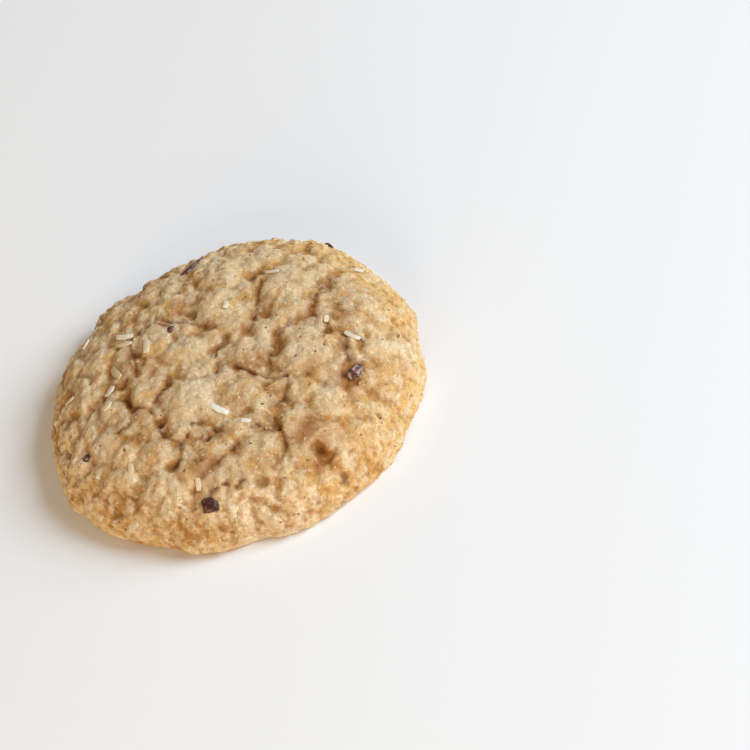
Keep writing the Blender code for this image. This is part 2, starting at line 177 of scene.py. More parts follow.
def profile_table():
    """Radius, height, length and normal along the section, and the share of the mesh before it."""
    r, z = plain_profile()
    step = np.hypot(np.diff(r), np.diff(z))
    weight = np.where(z[1:] > 0, 1.0, UNDERSIDE_SHARE)
    share = np.concatenate([[0], np.cumsum(step * (r[1:] + r[:-1]) / 2 * weight)])
    slope_r, slope_z = np.gradient(r), np.gradient(z)
    length = np.hypot(slope_r, slope_z)
    return {
        "share": share / share[-1],
        "reach": np.concatenate([[0], np.cumsum(step)]),
        "r": r,
        "z": z,
        "normal_r": -slope_z / length,
        "normal_z": slope_r / length,
    }


def on_profile(table, share, angle):
    """Places and normals of the plain cookie, in mm, for a share of the section and a plan angle."""
    across, up = np.cos(angle), np.sin(angle)
    r = np.interp(share, table["share"], table["r"])
    z = np.interp(share, table["share"], table["z"])
    normal_r = np.interp(share, table["share"], table["normal_r"])
    normal_z = np.interp(share, table["share"], table["normal_z"])
    places = np.column_stack([r * across, r * up, z])
    normals = np.column_stack([normal_r * across, normal_r * up, normal_z])
    return places, normals / np.linalg.norm(normals, axis=1)[:, None]


def crown_height(x, y):
    inside = max(0.0, 1 - (math.hypot(x, y) / RADIUS) ** CROWN_POWER)
    return FOOT_HEIGHT + (CROWN_HEIGHT - FOOT_HEIGHT) * math.sqrt(inside)


section = profile_table()
print("section:", len(section["r"]), "points,", round(section["reach"][-1], 1), "mm long")

# %% [markdown]
# No drop cookie is round. Its outline bulges where a lump pushed out and dips where two lumps
# met. Each bulge or dip is a lobe: a smooth swelling of the circle round one plan angle. Lobes
# add up to a soft outline, and a little noise, read round a ring, makes it ragged.

# %% The outline
RIM_LOBES = (
    # plan angle and half width in degrees, and reach in mm
    (0, 5, 0.5),
    (17, 12, -0.6),
    (46, 8, 0.9),
    (62, 10, 0.5),
    (91, 8, -1.8),
    (106, 6, -1.3),
    (118, 5, 0.3),
    (130, 6, -1.0),
    (163, 9, 0.4),
    (190, 7, 0.7),
    (229, 8, -1.3),
    (256, 10, -1.0),
    (259, 4, -0.9),
    (282, 6, 0.2),
    (298, 9, 0.4),
    (317, 5, -0.5),
    (346, 7, -0.8),
)
RIM_RAGGED = 0.35
RIM_WAVES = 16
RIM_SLICE = 3.7  # where the noise is cut: another value gives another ragged edge


def rim_reach(angle):
    """How far the outline stands out of, or into, the plain circle at each plan angle."""
    reach = np.zeros(len(angle))
    for middle, half_width, lobe in RIM_LOBES:
        off = (np.degrees(angle) - middle + 180) % 360 - 180
        reach += lobe * np.exp(-((off / half_width) ** 2))
    ring = np.column_stack([np.cos(angle), np.sin(angle)]) * RIM_WAVES / (2 * math.pi)
    ragged = np.array([noise.noise(Vector((x, y, RIM_SLICE))) for x, y in ring])
    return reach + 2 * RIM_RAGGED * ragged


print(len(RIM_LOBES), "lobes")

# %% [markdown]
# The crown is made of lumps 5 to 12 mm across. The ones that catch the eye are named here one by
# one, as a modeller would place them with a sculpting brush. Everything smaller is drawn
# by a seeded rule further down.

# %% The lumps that catch the eye
LUMPS = (
    # x, y and radius
    (-8.0, -7.5, 6.2),
    (15.5, -7.0, 6.2),
    (-10.0, 11.0, 4.4),
    (-14.5, -0.5, 4.4),
    (-12.0, -12.0, 3.6),
    (3.5, 12.5, 5.4),
    (-5.5, 5.0, 4.8),
    (-4.0, -0.5, 3.8),
    (5.5, -1.5, 5.2),
    (9.5, 2.5, 2.8),
    (15.0, 4.5, 4.6),
    (17.0, 10.5, 5.4),
    (7.0, 21.0, 5.6),
    (-5.5, 18.5, 4.4),
    (-21.0, 14.5, 4.0),
    (-25.5, 7.0, 3.8),
    (-21.5, -0.5, 3.4),
    (-25.0, -6.0, 4.0),
    (-19.0, -14.0, 4.4),
    (-25.0, -14.5, 3.8),
    (-20.5, -22.5, 6.2),
    (-8.5, -18.5, 3.2),
    (-3.5, -17.5, 3.4),
    (1.0, -10.5, 4.0),
    (3.5, -14.5, 3.2),
    (11.0, -15.0, 3.4),
    (7.5, -20.0, 3.0),
    (15.0, -20.0, 4.2),
    (-0.5, -24.5, 4.4),
    (6.5, -27.0, 2.6),
    (-5.5, -26.5, 3.6),
    (3.0, -33.0, 4.6),
    (17.5, -28.0, 4.0),
    (25.0, -4.0, 3.4),
)
print(len(LUMPS), "named lumps")

# %% [markdown]
# Furrows are where the skin of the dough tore, or where two lumps never quite closed. Each is a
# short line through a few plan points, with a depth and a width. Pits are the small holes that
# steam or a lost crumb left. They are lists as well, because the eye finds them at once.

# %% Furrows and pits
FURROWS = (
    # depth, width, and the plan points that each runs through
    (1.0, 1.2, ((-11.0, 16.0), (-14.0, 14.5), (-14.5, 12.0), (-15.0, 7.5), (-15.5, 5.0))),
    (0.6, 0.7, ((-17.5, 5.5), (-22.5, 4.0))),
    (1.0, 0.9, ((-18.5, 2.0), (-18.0, -2.0), (-15.5, -4.5), (-12.5, -2.5), (-10.5, 1.0))),
    (0.6, 0.6, ((-18.5, -2.5), (-20.5, -5.0), (-22.5, -5.0))),
    (1.1, 1.0, ((-15.0, -8.0), (-15.0, -11.5), (-13.0, -15.5), (-14.0, -18.0), (-16.5, -18.5))),
    (0.7, 0.6, ((-14.0, -18.5), (-11.0, -20.0))),
    (0.8, 0.6, ((-11.5, -14.5), (-10.0, -12.5), (-7.0, -13.5), (-6.0, -15.5), (-8.0, -16.5))),
    (0.7, 0.9, ((-10.0, -22.0), (-7.5, -22.0), (-3.5, -21.0))),
    (0.6, 0.7, ((-11.5, -26.5), (-8.5, -26.5), (-7.5, -28.0), (-5.5, -28.0))),
    (0.8, 1.1, ((9.5, -11.5), (6.5, -16.0), (4.5, -18.5), (3.0, -21.5))),
    (0.6, 0.6, ((0.5, -18.5), (1.5, -20.5), (4.5, -21.5))),
    (1.0, 1.1, ((4.5, -21.5), (4.0, -25.5), (1.5, -28.5))),
    (0.9, 0.6, ((2.0, -4.0), (3.5, -7.0), (5.5, -8.5), (9.5, -11.0))),
    (1.0, 1.4, ((14.0, 1.0), (11.0, -1.5), (8.0, -5.0), (7.5, -8.5))),
    (0.8, 0.9, ((2.5, 4.5), (0.0, 2.5), (-1.0, -0.5), (-1.5, -3.0))),
    (0.8, 1.3, ((25.0, 9.0), (22.0, 6.5), (19.5, 4.0), (18.0, 1.0))),
    (0.9, 1.0, ((21.0, -1.5), (20.0, -4.5), (18.0, -8.0))),
    (0.7, 0.6, ((22.5, -6.0), (25.0, -9.0))),
    (1.4, 1.9, ((21.5, -8.0), (21.0, -12.0), (19.0, -16.0))),
    (0.6, 0.9, ((0.0, 9.0), (-3.5, 12.5), (-5.0, 13.0), (-8.0, 17.0))),
    (0.6, 0.9, ((13.0, 14.5), (11.0, 11.0), (8.0, 4.5))),
)
PITS = (
    # x, y, radius and depth
    (9.5, -28.5, 2.0, 1.5),
    (6.0, -10.5, 1.0, 0.7),
    (-15.0, -8.0, 1.0, 0.6),
    (-2.5, -34.5, 1.3, 1.0),
    (11.0, -33.5, 1.3, 0.8),
    (12.0, 16.5, 1.6, 0.8),
    (-22.5, -9.5, 1.0, 0.7),
    (-3.0, -29.5, 1.5, 0.5),
    (-1.5, 14.0, 1.2, 0.7),
    (-25.0, -19.5, 1.4, 0.6),
    (-29.5, -17.5, 1.3, 0.6),
    (-24.0, 9.5, 1.2, 0.6),
    (-26.0, 3.5, 1.2, 0.7),
    (22.0, -25.0, 1.2, 0.6),
)
print(len(FURROWS), "furrows,", len(PITS), "pits")

# %% [markdown]
# Between the named lumps lie smaller ones. They are thrown like darts onto the plain form: a
# throw counts only if it lands clear of the lumps that are there. The random draw is seeded, so
# the same cookie comes out every time.

# %% Smaller lumps in the room that is left
FILLER_SEED = 11
FILLER_RADIUS = (1.9, 4.0)
FILLER_TRIES = 5000
FILLER_CLEAR = 0.62  # the least distance between two lumps, as a share of both radii


def all_lumps():
    """The named lumps, then seeded smaller ones wherever the crown and the side have room."""
    draw = random.Random(FILLER_SEED)
    crown_share = float(np.interp(1.0, section["z"][::-1], section["share"][::-1]))
    lumps = [(np.array([x, y, crown_height(x, y)]), radius) for x, y, radius in LUMPS]
    for _ in range(FILLER_TRIES):
        share = np.array([draw.uniform(0, crown_share)])
        angle = np.array([draw.uniform(0, 2 * math.pi)])
        radius = draw.uniform(*FILLER_RADIUS)
        centre = on_profile(section, share, angle)[0][0]
        if all(
            np.linalg.norm(centre - other) > FILLER_CLEAR * (radius + wide)
            for other, wide in lumps
        ):
            lumps.append((centre, radius))
    return lumps


lumps = all_lumps()
print(len(lumps), "lumps with the seeded ones")

# %% [markdown]
# The height of the dough over a place is that of the highest cap which covers it, rounded where
# two caps meet, so valleys appear by themselves. Cobbles 2.6 mm across and a fractal noise
# roughen the caps, and more noise bends all of it, because no lump is a true circle. Furrows and
# pits are pressed in last. Noise breaks them, so they open and close as a tear does. Each leaves
# a mark for the finish: a thin line of painted shade in a wider band of fainter painted shade.
# The side and the right rim are calmer than the crown, as the tray and the heat smoothed them.

# %% Caps, cobbles, furrows and pits as one relief
LUMP_RISE = 0.23  # a lump's height, as a share of its radius
LUMP_POWER = 2.5  # 2 is a round cap, and a higher power gives a flatter top
LUMP_BLEND = 0.32  # mm over which two caps are rounded into each other
COBBLE_SIZE = 2.6
COBBLE_RISE = 0.40
COBBLE_MEAN = 0.24  # keeps the cobbles from lifting the whole crown
ROUGH_SIZE = 3.0
ROUGH_RISE = 0.42
ROUGH_OCTAVES = 3
ROUGH_FADE, ROUGH_STEP = 1.0, 2.0  # each octave of the noise is half the size and half as high
WARP_SEED = 3
WARP_SIZE = 5.0
WARP_REACH = 0.9
VALLEY_DROP = 0.55  # how far the ground between lumps lies under the plain section
RIGHT_RIM_START = 25.0
RIGHT_RIM_FADE = 6.0
RIGHT_RIM_CALM = 0.45
SIDE_HEIGHT = (8.0, 2.5)  # mm above the tray where the side starts to calm, and is calmest
SIDE_CALM = 0.55
FURROW_DEPTH = 0.55  # a furrow's real depth, as a share of the depth in its list
BREAK_SIZE = 2.2  # furrows run deeper and shallower along their length, at this scale
BREAK_MIDDLE, BREAK_REACH = 0.85, 1.3
BREAK_LIMITS = (0.3, 1.3)
# Painted shade: a thin dark line along each furrow, and a fainter band of it beside the line
CREASE_WIDTH = 0.45  # of the brown line in a furrow, in mm
SHADE_BESIDE = 0.4  # how brown the dough is beside that line
SHADE_BESIDE_WIDTH = 1.4
# Painted shade in a pit, darkest at its middle
PIT_SHADE = 0.8


def smooth_max(a, b, blend):
    mix = np.clip(0.5 + 0.5 * (b - a) / blend, 0, 1)
    return a + (b - a) * mix + blend * mix * (1 - mix)


def smooth_step(start, end, value):
    t = np.clip((value - start) / (end - start), 0, 1)
    return t * t * (3 - 2 * t)


def distance_to_line(points, line):
    nearest = np.full(len(points), np.inf)
    for start, end in zip(line, line[1:]):
        start, run = np.array(start), np.array(end) - np.array(start)
        along = np.clip((points - start) @ run / (run @ run), 0, 1)
        away = np.linalg.norm(points - start - along[:, None] * run, axis=1)
        nearest = np.minimum(nearest, away)
    return nearest


def relief(places, lumps):
    """How far each place moves out along its normal, its height before that is calmed, in mm,
    and how much painted shade it gets in a crease or a pit."""
    noise.seed_set(WARP_SEED)
    warp = np.array([noise.noise_vector(Vector(p) / WARP_SIZE) for p in places])
    bent = places + WARP_REACH * warp
    rise = np.zeros(len(places))
    for centre, radius in lumps:
        apart = np.linalg.norm(bent - centre, axis=1) / radius
        rise = smooth_max(rise, LUMP_RISE * radius * (1 - apart**LUMP_POWER), LUMP_BLEND)
    cell = np.array([noise.voronoi(Vector(p) / COBBLE_SIZE)[0][0] for p in bent])
    rise += COBBLE_RISE * (COBBLE_MEAN - cell**2)
    rough = [noise.fractal(Vector(p) / ROUGH_SIZE, ROUGH_FADE, ROUGH_STEP, ROUGH_OCTAVES) for p in places]
    rise += ROUGH_RISE * np.array(rough)
    plan = bent[:, :2]
    on_top = places[:, 2] > FOOT_HEIGHT
    crease_shade = np.zeros(len(places))
    uneven = np.array([noise.noise(Vector(p) / BREAK_SIZE) for p in places])
    broken = np.clip(BREAK_MIDDLE + BREAK_REACH * uneven, *BREAK_LIMITS)
    for depth, width, line in FURROWS:
        apart = distance_to_line(plan, line)
        groove = FURROW_DEPTH * depth * broken * np.exp(-((apart / (width * broken)) ** 2))
        rise -= np.where(on_top, groove, 0)
        # Painted shade along the furrow: a thin line and a fainter band beside it
        shade_line = np.exp(-((apart / CREASE_WIDTH) ** 2))
        shade_band = SHADE_BESIDE * np.exp(-((apart / SHADE_BESIDE_WIDTH) ** 2))
        crease_shade = np.maximum(crease_shade, np.where(on_top, np.maximum(shade_line, shade_band), 0))
    for x, y, radius, depth in PITS:
        apart = np.linalg.norm(plan - np.array([x, y]), axis=1) / (radius * broken)
        rise -= np.where(on_top, depth * np.exp(-(apart**3)), 0)
        crease_shade = np.maximum(crease_shade, np.where(on_top, PIT_SHADE * np.exp(-((2 * apart) ** 2)), 0))
    calm = 1 - (1 - RIGHT_RIM_CALM) * smooth_step(0, RIGHT_RIM_FADE, places[:, 0] - RIGHT_RIM_START)
    calm *= 1 - (1 - SIDE_CALM) * smooth_step(*SIDE_HEIGHT, places[:, 2])
    return (rise - VALLEY_DROP) * calm, rise - VALLEY_DROP, crease_shade


summit = relief(np.array([[0, 0, CROWN_HEIGHT]]), lumps)[1][0]
print("relief at the middle of the crown:", round(float(summit), 2), "mm")

# %% [markdown]
# Now the dough itself. A fine ball is added, and each of its points is slid to its place on the
# section, pushed out by the outline, and lifted by the relief, which fades out just above the
# tray. How high the relief stands and how much painted shade its creases and pits get are kept
# on the mesh as attributes, because the finish reads them long after the points have moved on.

# %% From a ball to a cookie
BALL_SUBDIVISIONS = 8
RELIEF_FOOT = 1.5  # mm above the tray where the relief is at its fullest


def only(piece):
    """Deselects everything, then selects this piece and makes it active."""
    bpy.ops.object.select_all(action="DESELECT")
    piece.select_set(True)
    bpy.context.view_layer.objects.active = piece


def points_of(mesh):
    flat = np.empty(len(mesh.vertices) * 3)
    mesh.vertices.foreach_get("co", flat)
    return flat.reshape(-1, 3)


def form_dough(ball, lumps):
    share = (1 - ball[:, 2]) / 2
    angle = np.arctan2(ball[:, 1], ball[:, 0])
    places, normals = on_profile(section, share, angle)
    from_middle = np.hypot(places[:, 0], places[:, 1]) / RADIUS
    out = np.column_stack([np.cos(angle), np.sin(angle), np.zeros(len(angle))])
    spread = rim_reach(angle) * from_middle**3
    pushed, rise, crease_shade = relief(places, lumps)
    pushed *= smooth_step(0.0, RELIEF_FOOT, places[:, 2])
    return places + out * spread[:, None] + normals * pushed[:, None], rise, crease_shade


def set_attribute(mesh, name, values):
    attribute = mesh.attributes.new(name, "FLOAT", "POINT")
    attribute.data.foreach_set("value", values.astype(np.float32))


bpy.ops.object.select_all(action="DESELECT")
bpy.ops.mesh.primitive_ico_sphere_add(subdivisions=BALL_SUBDIVISIONS, radius=1)
dough = bpy.context.object
dough.name = "cookie_dough"
formed, rise, crease_shade = form_dough(points_of(dough.data), lumps)
dough.data.vertices.foreach_set("co", (formed * MM).ravel())
set_attribute(dough.data, "rise", rise)
set_attribute(dough.data, "crease_shade", crease_shade)
print("ball formed:", len(formed), "points,", round(float(formed[:, 2].max()), 1), "mm high")

# %% [markdown]
# Crumb about a millimetre across is left to Displace modifiers, because they push along the true
# normal of every crease wall. Two vertex groups weigh them: one keeps crumb off the flat
# underside, and one lets rags of crust stand out further round the rim. Points that were pushed
# through the tray are set back on it. Decimate then thins the mesh where it is even and keeps
# its triangles where it turns.

# %% Crumb on the crust
DOUGH_TRIANGLES = 190000
CRUST = "crust"  # the group of points that carry crumb
RIM = "rim"  # the group whose crumb stands out further
RIM_START, RIM_END = 0.70, 0.97  # as shares of the radius
CRUMB_FOOT = 0.7  # mm above the tray where crumb is at its fullest
GROUP_LEVELS = 10  # steps between no crumb and full crumb
CRUMBS = (
    # name, group, texture, size, strength and middle: grains stand up where the texture is low
    ("coarse_crumb", CRUST, "VORONOI", 1.5, -0.11, 0.42),
    ("fine_crumb", CRUST, "VORONOI", 0.7, -0.09, 0.42),
    ("rim_crumb", RIM, "VORONOI", 1.1, -0.30, 0.42),
    ("rim_rags", RIM, "CLOUDS", 1.3, 1.00, 0.5),
    ("uneven", CRUST, "CLOUDS", 0.9, 0.08, 0.5),
)


def add_crumb(piece, name, group, kind, size, strength, middle):
    """One layer of crumb: a Displace modifier whose texture is measured in metres."""
    texture = bpy.data.textures.new(name, kind)
    texture.noise_scale = size * MM
    crumb = piece.modifiers.new(name, "DISPLACE")
    crumb.texture = texture
    crumb.texture_coords = "LOCAL"
    crumb.direction = "NORMAL"
    crumb.strength = strength * MM
    crumb.mid_level = middle
    crumb.vertex_group = group
    only(piece)
    bpy.ops.object.modifier_apply(modifier=crumb.name)


edge = smooth_step(RIM_START, RIM_END, np.hypot(formed[:, 0], formed[:, 1]) / RADIUS)
loose = smooth_step(0.0, CRUMB_FOOT, formed[:, 2])
for name, weights in ((CRUST, loose), (RIM, loose * edge)):
    group = dough.vertex_groups.new(name=name)
    for level in range(GROUP_LEVELS + 1):
        members = np.flatnonzero(np.round(weights * GROUP_LEVELS) == level)
        group.add(members.tolist(), level / GROUP_LEVELS, "REPLACE")
for layer in CRUMBS:
    add_crumb(dough, *layer)
crumbed = points_of(dough.data)
crumbed[:, 2] = np.maximum(crumbed[:, 2], 0)
dough.data.vertices.foreach_set("co", crumbed.ravel())
thin = dough.modifiers.new("thin", "DECIMATE")
thin.ratio = DOUGH_TRIANGLES / len(dough.data.polygons)
only(dough)
bpy.ops.object.modifier_apply(modifier=thin.name)
dough.vertex_groups.clear()
bpy.ops.object.shade_smooth()
print("dough:", len(dough.data.polygons), "triangles")

# %% [markdown]
# Heat reaches a cookie unevenly, and light falls on it unevenly too. Hollows are browner, partly
# as moist dough and partly as painted shade, and the tops of lumps are paler, partly as dry dough
# and partly as painted light. The rim, which touches the hot tray, turns golden, and the extra
# gold on the right, on the side of the window lamp, is painted light. These are facts of place,
# not of any texture, so they are worked out point by point and kept as attributes of the mesh:
# how far a point lies under its neighbourhood, and how close it is to the rim.

# %% Hollows, toast and painted light as attributes
HOLLOW_ROUNDS = 60  # rounds of averaging: more of them compare with a wider neighbourhood
HOLLOW_FULL = 0.55  # mm under the neighbourhood that counts as a full hollow
TOAST_START = 0.66  # as a share of the radius
# The right rim's extra gold over the left is painted light, on the window lamp's side
TOAST_LEFT = 0.25  # how toasted the left rim is beside the right one
TOAST_TURN = (-0.1, 0.7)  # where the left rim's share ends and the right rim's is full
CHUNK = 20000  # points measured at a time, which saves memory


def neighbour_average(values, first, second, count, rounds):
    total = np.bincount(first, minlength=count) + np.bincount(second, minlength=count)
    for _ in range(rounds):
        summed = np.bincount(first, values[second], count) + np.bincount(second, values[first], count)
        values = 0.5 * values + 0.5 * summed / total
    return values


def height_over_section(points):
    """Signed distance, in mm, from the plain section, and how far along it the nearest place is."""
    r, z = np.hypot(points[:, 0], points[:, 1]), points[:, 2]
    nearest = np.empty(len(points), int)
    for start in range(0, len(points), CHUNK):
        part = slice(start, start + CHUNK)
        apart = (r[part, None] - section["r"]) ** 2 + (z[part, None] - section["z"]) ** 2
        nearest[part] = apart.argmin(1)
    away_r, away_z = r - section["r"][nearest], z - section["z"][nearest]
    over = away_r * section["normal_r"][nearest] + away_z * section["normal_z"][nearest]
    return over, section["reach"][nearest]


points = points_of(dough.data) / MM
edges = np.empty(len(dough.data.edges) * 2, int)
dough.data.edges.foreach_get("vertices", edges)
edges = edges.reshape(-1, 2)
over, reach = height_over_section(points)
around = neighbour_average(over, edges[:, 0], edges[:, 1], len(over), HOLLOW_ROUNDS)
set_attribute(dough.data, "hollow", np.clip((around - over) / HOLLOW_FULL, -1, 1))
out = np.hypot(points[:, 0], points[:, 1]) / RADIUS
# Gold at the rim, with more on the right as painted light
lit_right = smooth_step(*TOAST_TURN, points[:, 0] / RADIUS)
toast_and_light = smooth_step(TOAST_START, 1.0, out) * (TOAST_LEFT + (1 - TOAST_LEFT) * lit_right)
set_attribute(dough.data, "toast_and_light", toast_and_light)
deep = float(np.percentile(around - over, 95))
print("one point in twenty lies", round(deep, 2), "mm or more under its neighbourhood")

# %% [markdown]
# Dough is also mixed unevenly. Some stretches are creamy with butter and sugar, and others are
# browner where the flour took the heat. The broad ones are listed one by one, each as a soft disc
# with a tone, and noise pushes their edges about so that no disc can be seen. The creamy discs on
# the near side and the left rim are partly painted light, on sides that the lamps leave darker.

# %% Creamy and brown patches
# Creamy patches on the near side and on the left rim are partly painted light
PATCHES = (
    # x, y, radius and tone: below 0 browner dough, above 0 creamier
    (20.0, -16.0, 3.5, -0.9),
    (14.0, -11.0, 2.2, -0.6),
    (25.5, 5.0, 3.5, -0.5),
    (9.5, -24.0, 3.5, -1.0),
    (9.5, -29.5, 2.5, -0.9),
    (23.5, -2.5, 3.5, -0.6),
    (6.5, -5.0, 2.0, -0.5),
    (0.0, -12.0, 2.5, -0.6),
    (-3.0, 16.0, 3.0, -0.8),
    (-11.0, -21.5, 3.5, -0.8),
    (-17.5, -4.5, 2.5, -0.8),
    (-15.5, 7.5, 3.0, -0.8),
    (-31.0, 1.5, 4.0, 0.6),
    (-24.5, 1.0, 3.0, 0.7),
    (-27.0, -6.5, 4.0, 0.9),
    (-6.5, -7.0, 4.5, 1.0),
    (2.0, -17.5, 2.5, 0.5),
    (14.0, -5.5, 3.2, 0.9),
    (14.0, 10.5, 4.0, 0.5),
    (30.5, -11.0, 3.5, 0.8),
    (-6.5, -34.0, 5.0, 1.0),
    (1.0, -35.5, 3.0, 0.6),
    (-22.0, 20.0, 4.5, 0.8),
)
PATCH_RAGGED = 2.0  # mm by which noise pushes a patch's edge about
PATCH_NOISE = 3.0


def patch_tone_and_light(points):
    """How much browner or creamier each point is, from its patches, some creamy ones partly painted
    light.
    """
    push = np.array([noise.noise_vector(Vector(p) / PATCH_NOISE) for p in points])
    plan = points[:, :2] + PATCH_RAGGED * push[:, :2]
    tone_and_light = np.zeros(len(points))
    for x, y, radius, most in PATCHES:
        apart = np.linalg.norm(plan - (x, y), axis=1) / radius
        tone_and_light += most * np.exp(-(apart**2))
    return np.clip(tone_and_light, -1, 1)


set_attribute(dough.data, "tone_and_light", patch_tone_and_light(points))
print(len(PATCHES), "patches")

# %% [markdown]
# When the model is exported, its colours are painted onto a flat map. Left alone, the mapper
# would cut this rough surface into thousands of scraps. The crown and side are unrolled here as
# one disc, by their distance along the section, and the underside as a second, smaller disc.

# %% A clean map for the export
CROWN_DISC = (0.40, 0.40, 0.39)  # middle and radius on the unit square
UNDER_DISC = (0.87, 0.87, 0.12)
UNDER_FACING = -0.9  # a face of the underside looks down at least this steeply
UNDER_TOP = 0.15  # mm above the tray up to which a face can belong to the underside
UNDER_SPREAD = 1.05  # the underside's disc takes in a little more than the radius


def map_discs(mesh, points, reach):
    corners = np.empty(len(mesh.loops), int)
    mesh.loops.foreach_get("vertex_index", corners)
    normals = np.empty(len(mesh.polygons) * 3)
    mesh.polygons.foreach_get("normal", normals)
    centres = points[corners.reshape(-1, 3)].mean(1)
    under = (normals.reshape(-1, 3)[:, 2] < UNDER_FACING) & (centres[:, 2] < UNDER_TOP)
    under = np.repeat(under, 3)
    angle = np.arctan2(points[:, 1], points[:, 0])[corners]
    crown_reach = section["reach"][section["z"] > 0].max()
    x, y, radius = CROWN_DISC
    far = np.minimum(reach[corners] / crown_reach, 1) * radius
    u, v = x + far * np.cos(angle), y + far * np.sin(angle)
    x, y, radius = UNDER_DISC
    far = np.hypot(points[:, 0], points[:, 1])[corners] / (UNDER_SPREAD * RADIUS) * radius
    u = np.where(under, x + far * np.cos(angle), u)
    v = np.where(under, y - far * np.sin(angle), v)
    layer = mesh.uv_layers.new(name="OFBake")
    layer.data.foreach_set("uv", np.column_stack([u, v]).ravel())
    return int(under.sum() / 3)


for old in list(dough.data.uv_layers):
    dough.data.uv_layers.remove(old)
print("underside triangles:", map_discs(dough.data, points, reach))

# %% [markdown]
# A procedural finish is a small tree of nodes. A few helpers keep it readable: each adds the
# nodes of one idea, such as a noise, a range, a blend of two colours or a scatter of freckles,
# and most hand back the socket that carries the result. Every texture reads Object coordinates,
# which are metres here, so sizes are given in mm and turned into a scale.

# %% Helpers for the finishes
FRECKLE_EDGE = 0.55  # where a freckle is at its darkest, as a share of its radius
FRECKLE_STEP = 0.02  # a step this small makes a cell's freckle be there or not
NOISE_MEAN = (0.5, 0.5, 0.5)


def start_material(name):
    material = bpy.data.materials.new(name)
    material.use_nodes = True
    return material, material.node_tree, material.node_tree.nodes["Principled BSDF"]


def node(tree, kind, **values):
    """Adds a node and sets its inputs and settings by name."""
    added = tree.nodes.new(kind)
    for key, value in values.items():
        if key in added.inputs:
            added.inputs[key].default_value = value
        else:
            setattr(added, key, value)
    return added


def noise_of(tree, coords, size, detail=3.0, roughness=0.55, shift=0.0):
    """Noise whose blotches are about size mm across."""
    moved = node(tree, "ShaderNodeMapping")
    moved.inputs["Location"].default_value = (shift, shift * 0.7, -shift)
    tree.links.new(coords, moved.inputs["Vector"])
    made = node(tree, "ShaderNodeTexNoise", Scale=1 / (size * MM), Detail=detail, Roughness=roughness)
    tree.links.new(moved.outputs["Vector"], made.inputs["Vector"])
    return made.outputs["Fac"]


def ranged(tree, value, low, high, to_low=0.0, to_high=1.0):
    made = node(tree, "ShaderNodeMapRange", interpolation_type="SMOOTHSTEP")
    for name, number in (("From Min", low), ("From Max", high), ("To Min", to_low), ("To Max", to_high)):
        made.inputs[name].default_value = number
    tree.links.new(value, made.inputs["Value"])
    return made.outputs["Result"]


def times(tree, first, second):
    made = node(tree, "ShaderNodeMath", operation="MULTIPLY")
    tree.links.new(first, made.inputs[0])
    if isinstance(second, float):
        made.inputs[1].default_value = second
    else:
        tree.links.new(second, made.inputs[1])
    return made.outputs["Value"]


def mixed(tree, factor, first, second, blend="MIX"):
    """Mixes two colours, each a colour tuple or a socket, by a socket or a number."""
    made = node(tree, "ShaderNodeMix", data_type="RGBA", blend_type=blend)
    for socket, colour in ((made.inputs[6], first), (made.inputs[7], second)):
        if isinstance(colour, tuple):
            socket.default_value = (*colour, 1)
        else:
            tree.links.new(colour, socket)
    if isinstance(factor, float):
        made.inputs[0].default_value = factor
    else:
        tree.links.new(factor, made.inputs[0])
    return made.outputs[2]


def freckles(tree, coords, size, wide, keep):
    """Round dots in a share of the cells of a Voronoi texture, as a mask."""
    cells = node(tree, "ShaderNodeTexVoronoi", Scale=1 / (size * MM))
    tree.links.new(coords, cells.inputs["Vector"])
    dot = ranged(tree, cells.outputs["Distance"], wide, wide * FRECKLE_EDGE)
    split = node(tree, "ShaderNodeSeparateColor")
    tree.links.new(cells.outputs["Color"], split.inputs["Color"])
    return times(tree, dot, ranged(tree, split.outputs["Red"], 1 - keep, 1 - keep + FRECKLE_STEP))


def attribute(tree, name):
    made = node(tree, "ShaderNodeAttribute", attribute_name=name)
    return made.outputs["Fac"]


def add_bump(tree, shader, height, distance, strength=1.0):
    made = node(tree, "ShaderNodeBump", Distance=distance * MM, Strength=strength)
    tree.links.new(height, made.inputs["Height"])
    tree.links.new(made.outputs["Normal"], shader.inputs["Normal"])


def warped(tree, coords, size, reach):
    """Coordinates pushed about by noise, so that a pattern read with them has ragged edges."""
    push = node(tree, "ShaderNodeTexNoise", Scale=1 / (size * MM), Detail=3.0)
    tree.links.new(coords, push.inputs["Vector"])
    centred = node(tree, "ShaderNodeVectorMath", operation="SUBTRACT")
    tree.links.new(push.outputs["Color"], centred.inputs[0])
    centred.inputs[1].default_value = NOISE_MEAN
    moved = node(tree, "ShaderNodeVectorMath", operation="MULTIPLY_ADD")
    tree.links.new(centred.outputs["Vector"], moved.inputs[0])
    moved.inputs[1].default_value = [reach * MM] * 3
    tree.links.new(coords, moved.inputs[2])
    return moved.outputs["Vector"]


print("blotches of 4 mm take a noise scale of", round(1 / (4 * MM)))

# %% [markdown]
# Baked dough is never one colour. Its finish is built in layers, from broad to fine. Flakes
# about 2 mm across are pale or tan, and paler where the relief stands high, partly as painted
# light. Gold comes in at the rim, with painted light in its extra gold on the right, then buttery
# and white flakes, the creamy and brown patches, some with painted light, brown in the hollows,
# partly painted shade, and painted shade in the creases. Grain, darker between grains as painted
# shade, toasted spots, two sizes of bran freckles and the browned underside come last.
# A little light passes under the surface, as it does in most food, and softens the smallest
# shadows. A bump adds the grain that is too fine for the mesh.

# %% The dough's finish
PALE = (0.71, 0.545, 0.325)
TAN = (0.43, 0.222, 0.064)
BUTTER = (0.66, 0.40, 0.125)
GOLD = (0.74, 0.465, 0.175)
FLAKE_WHITE = (0.78, 0.66, 0.46)
CREAM = (0.84, 0.71, 0.50)
PATCH_BROWN = (0.62, 0.42, 0.27)
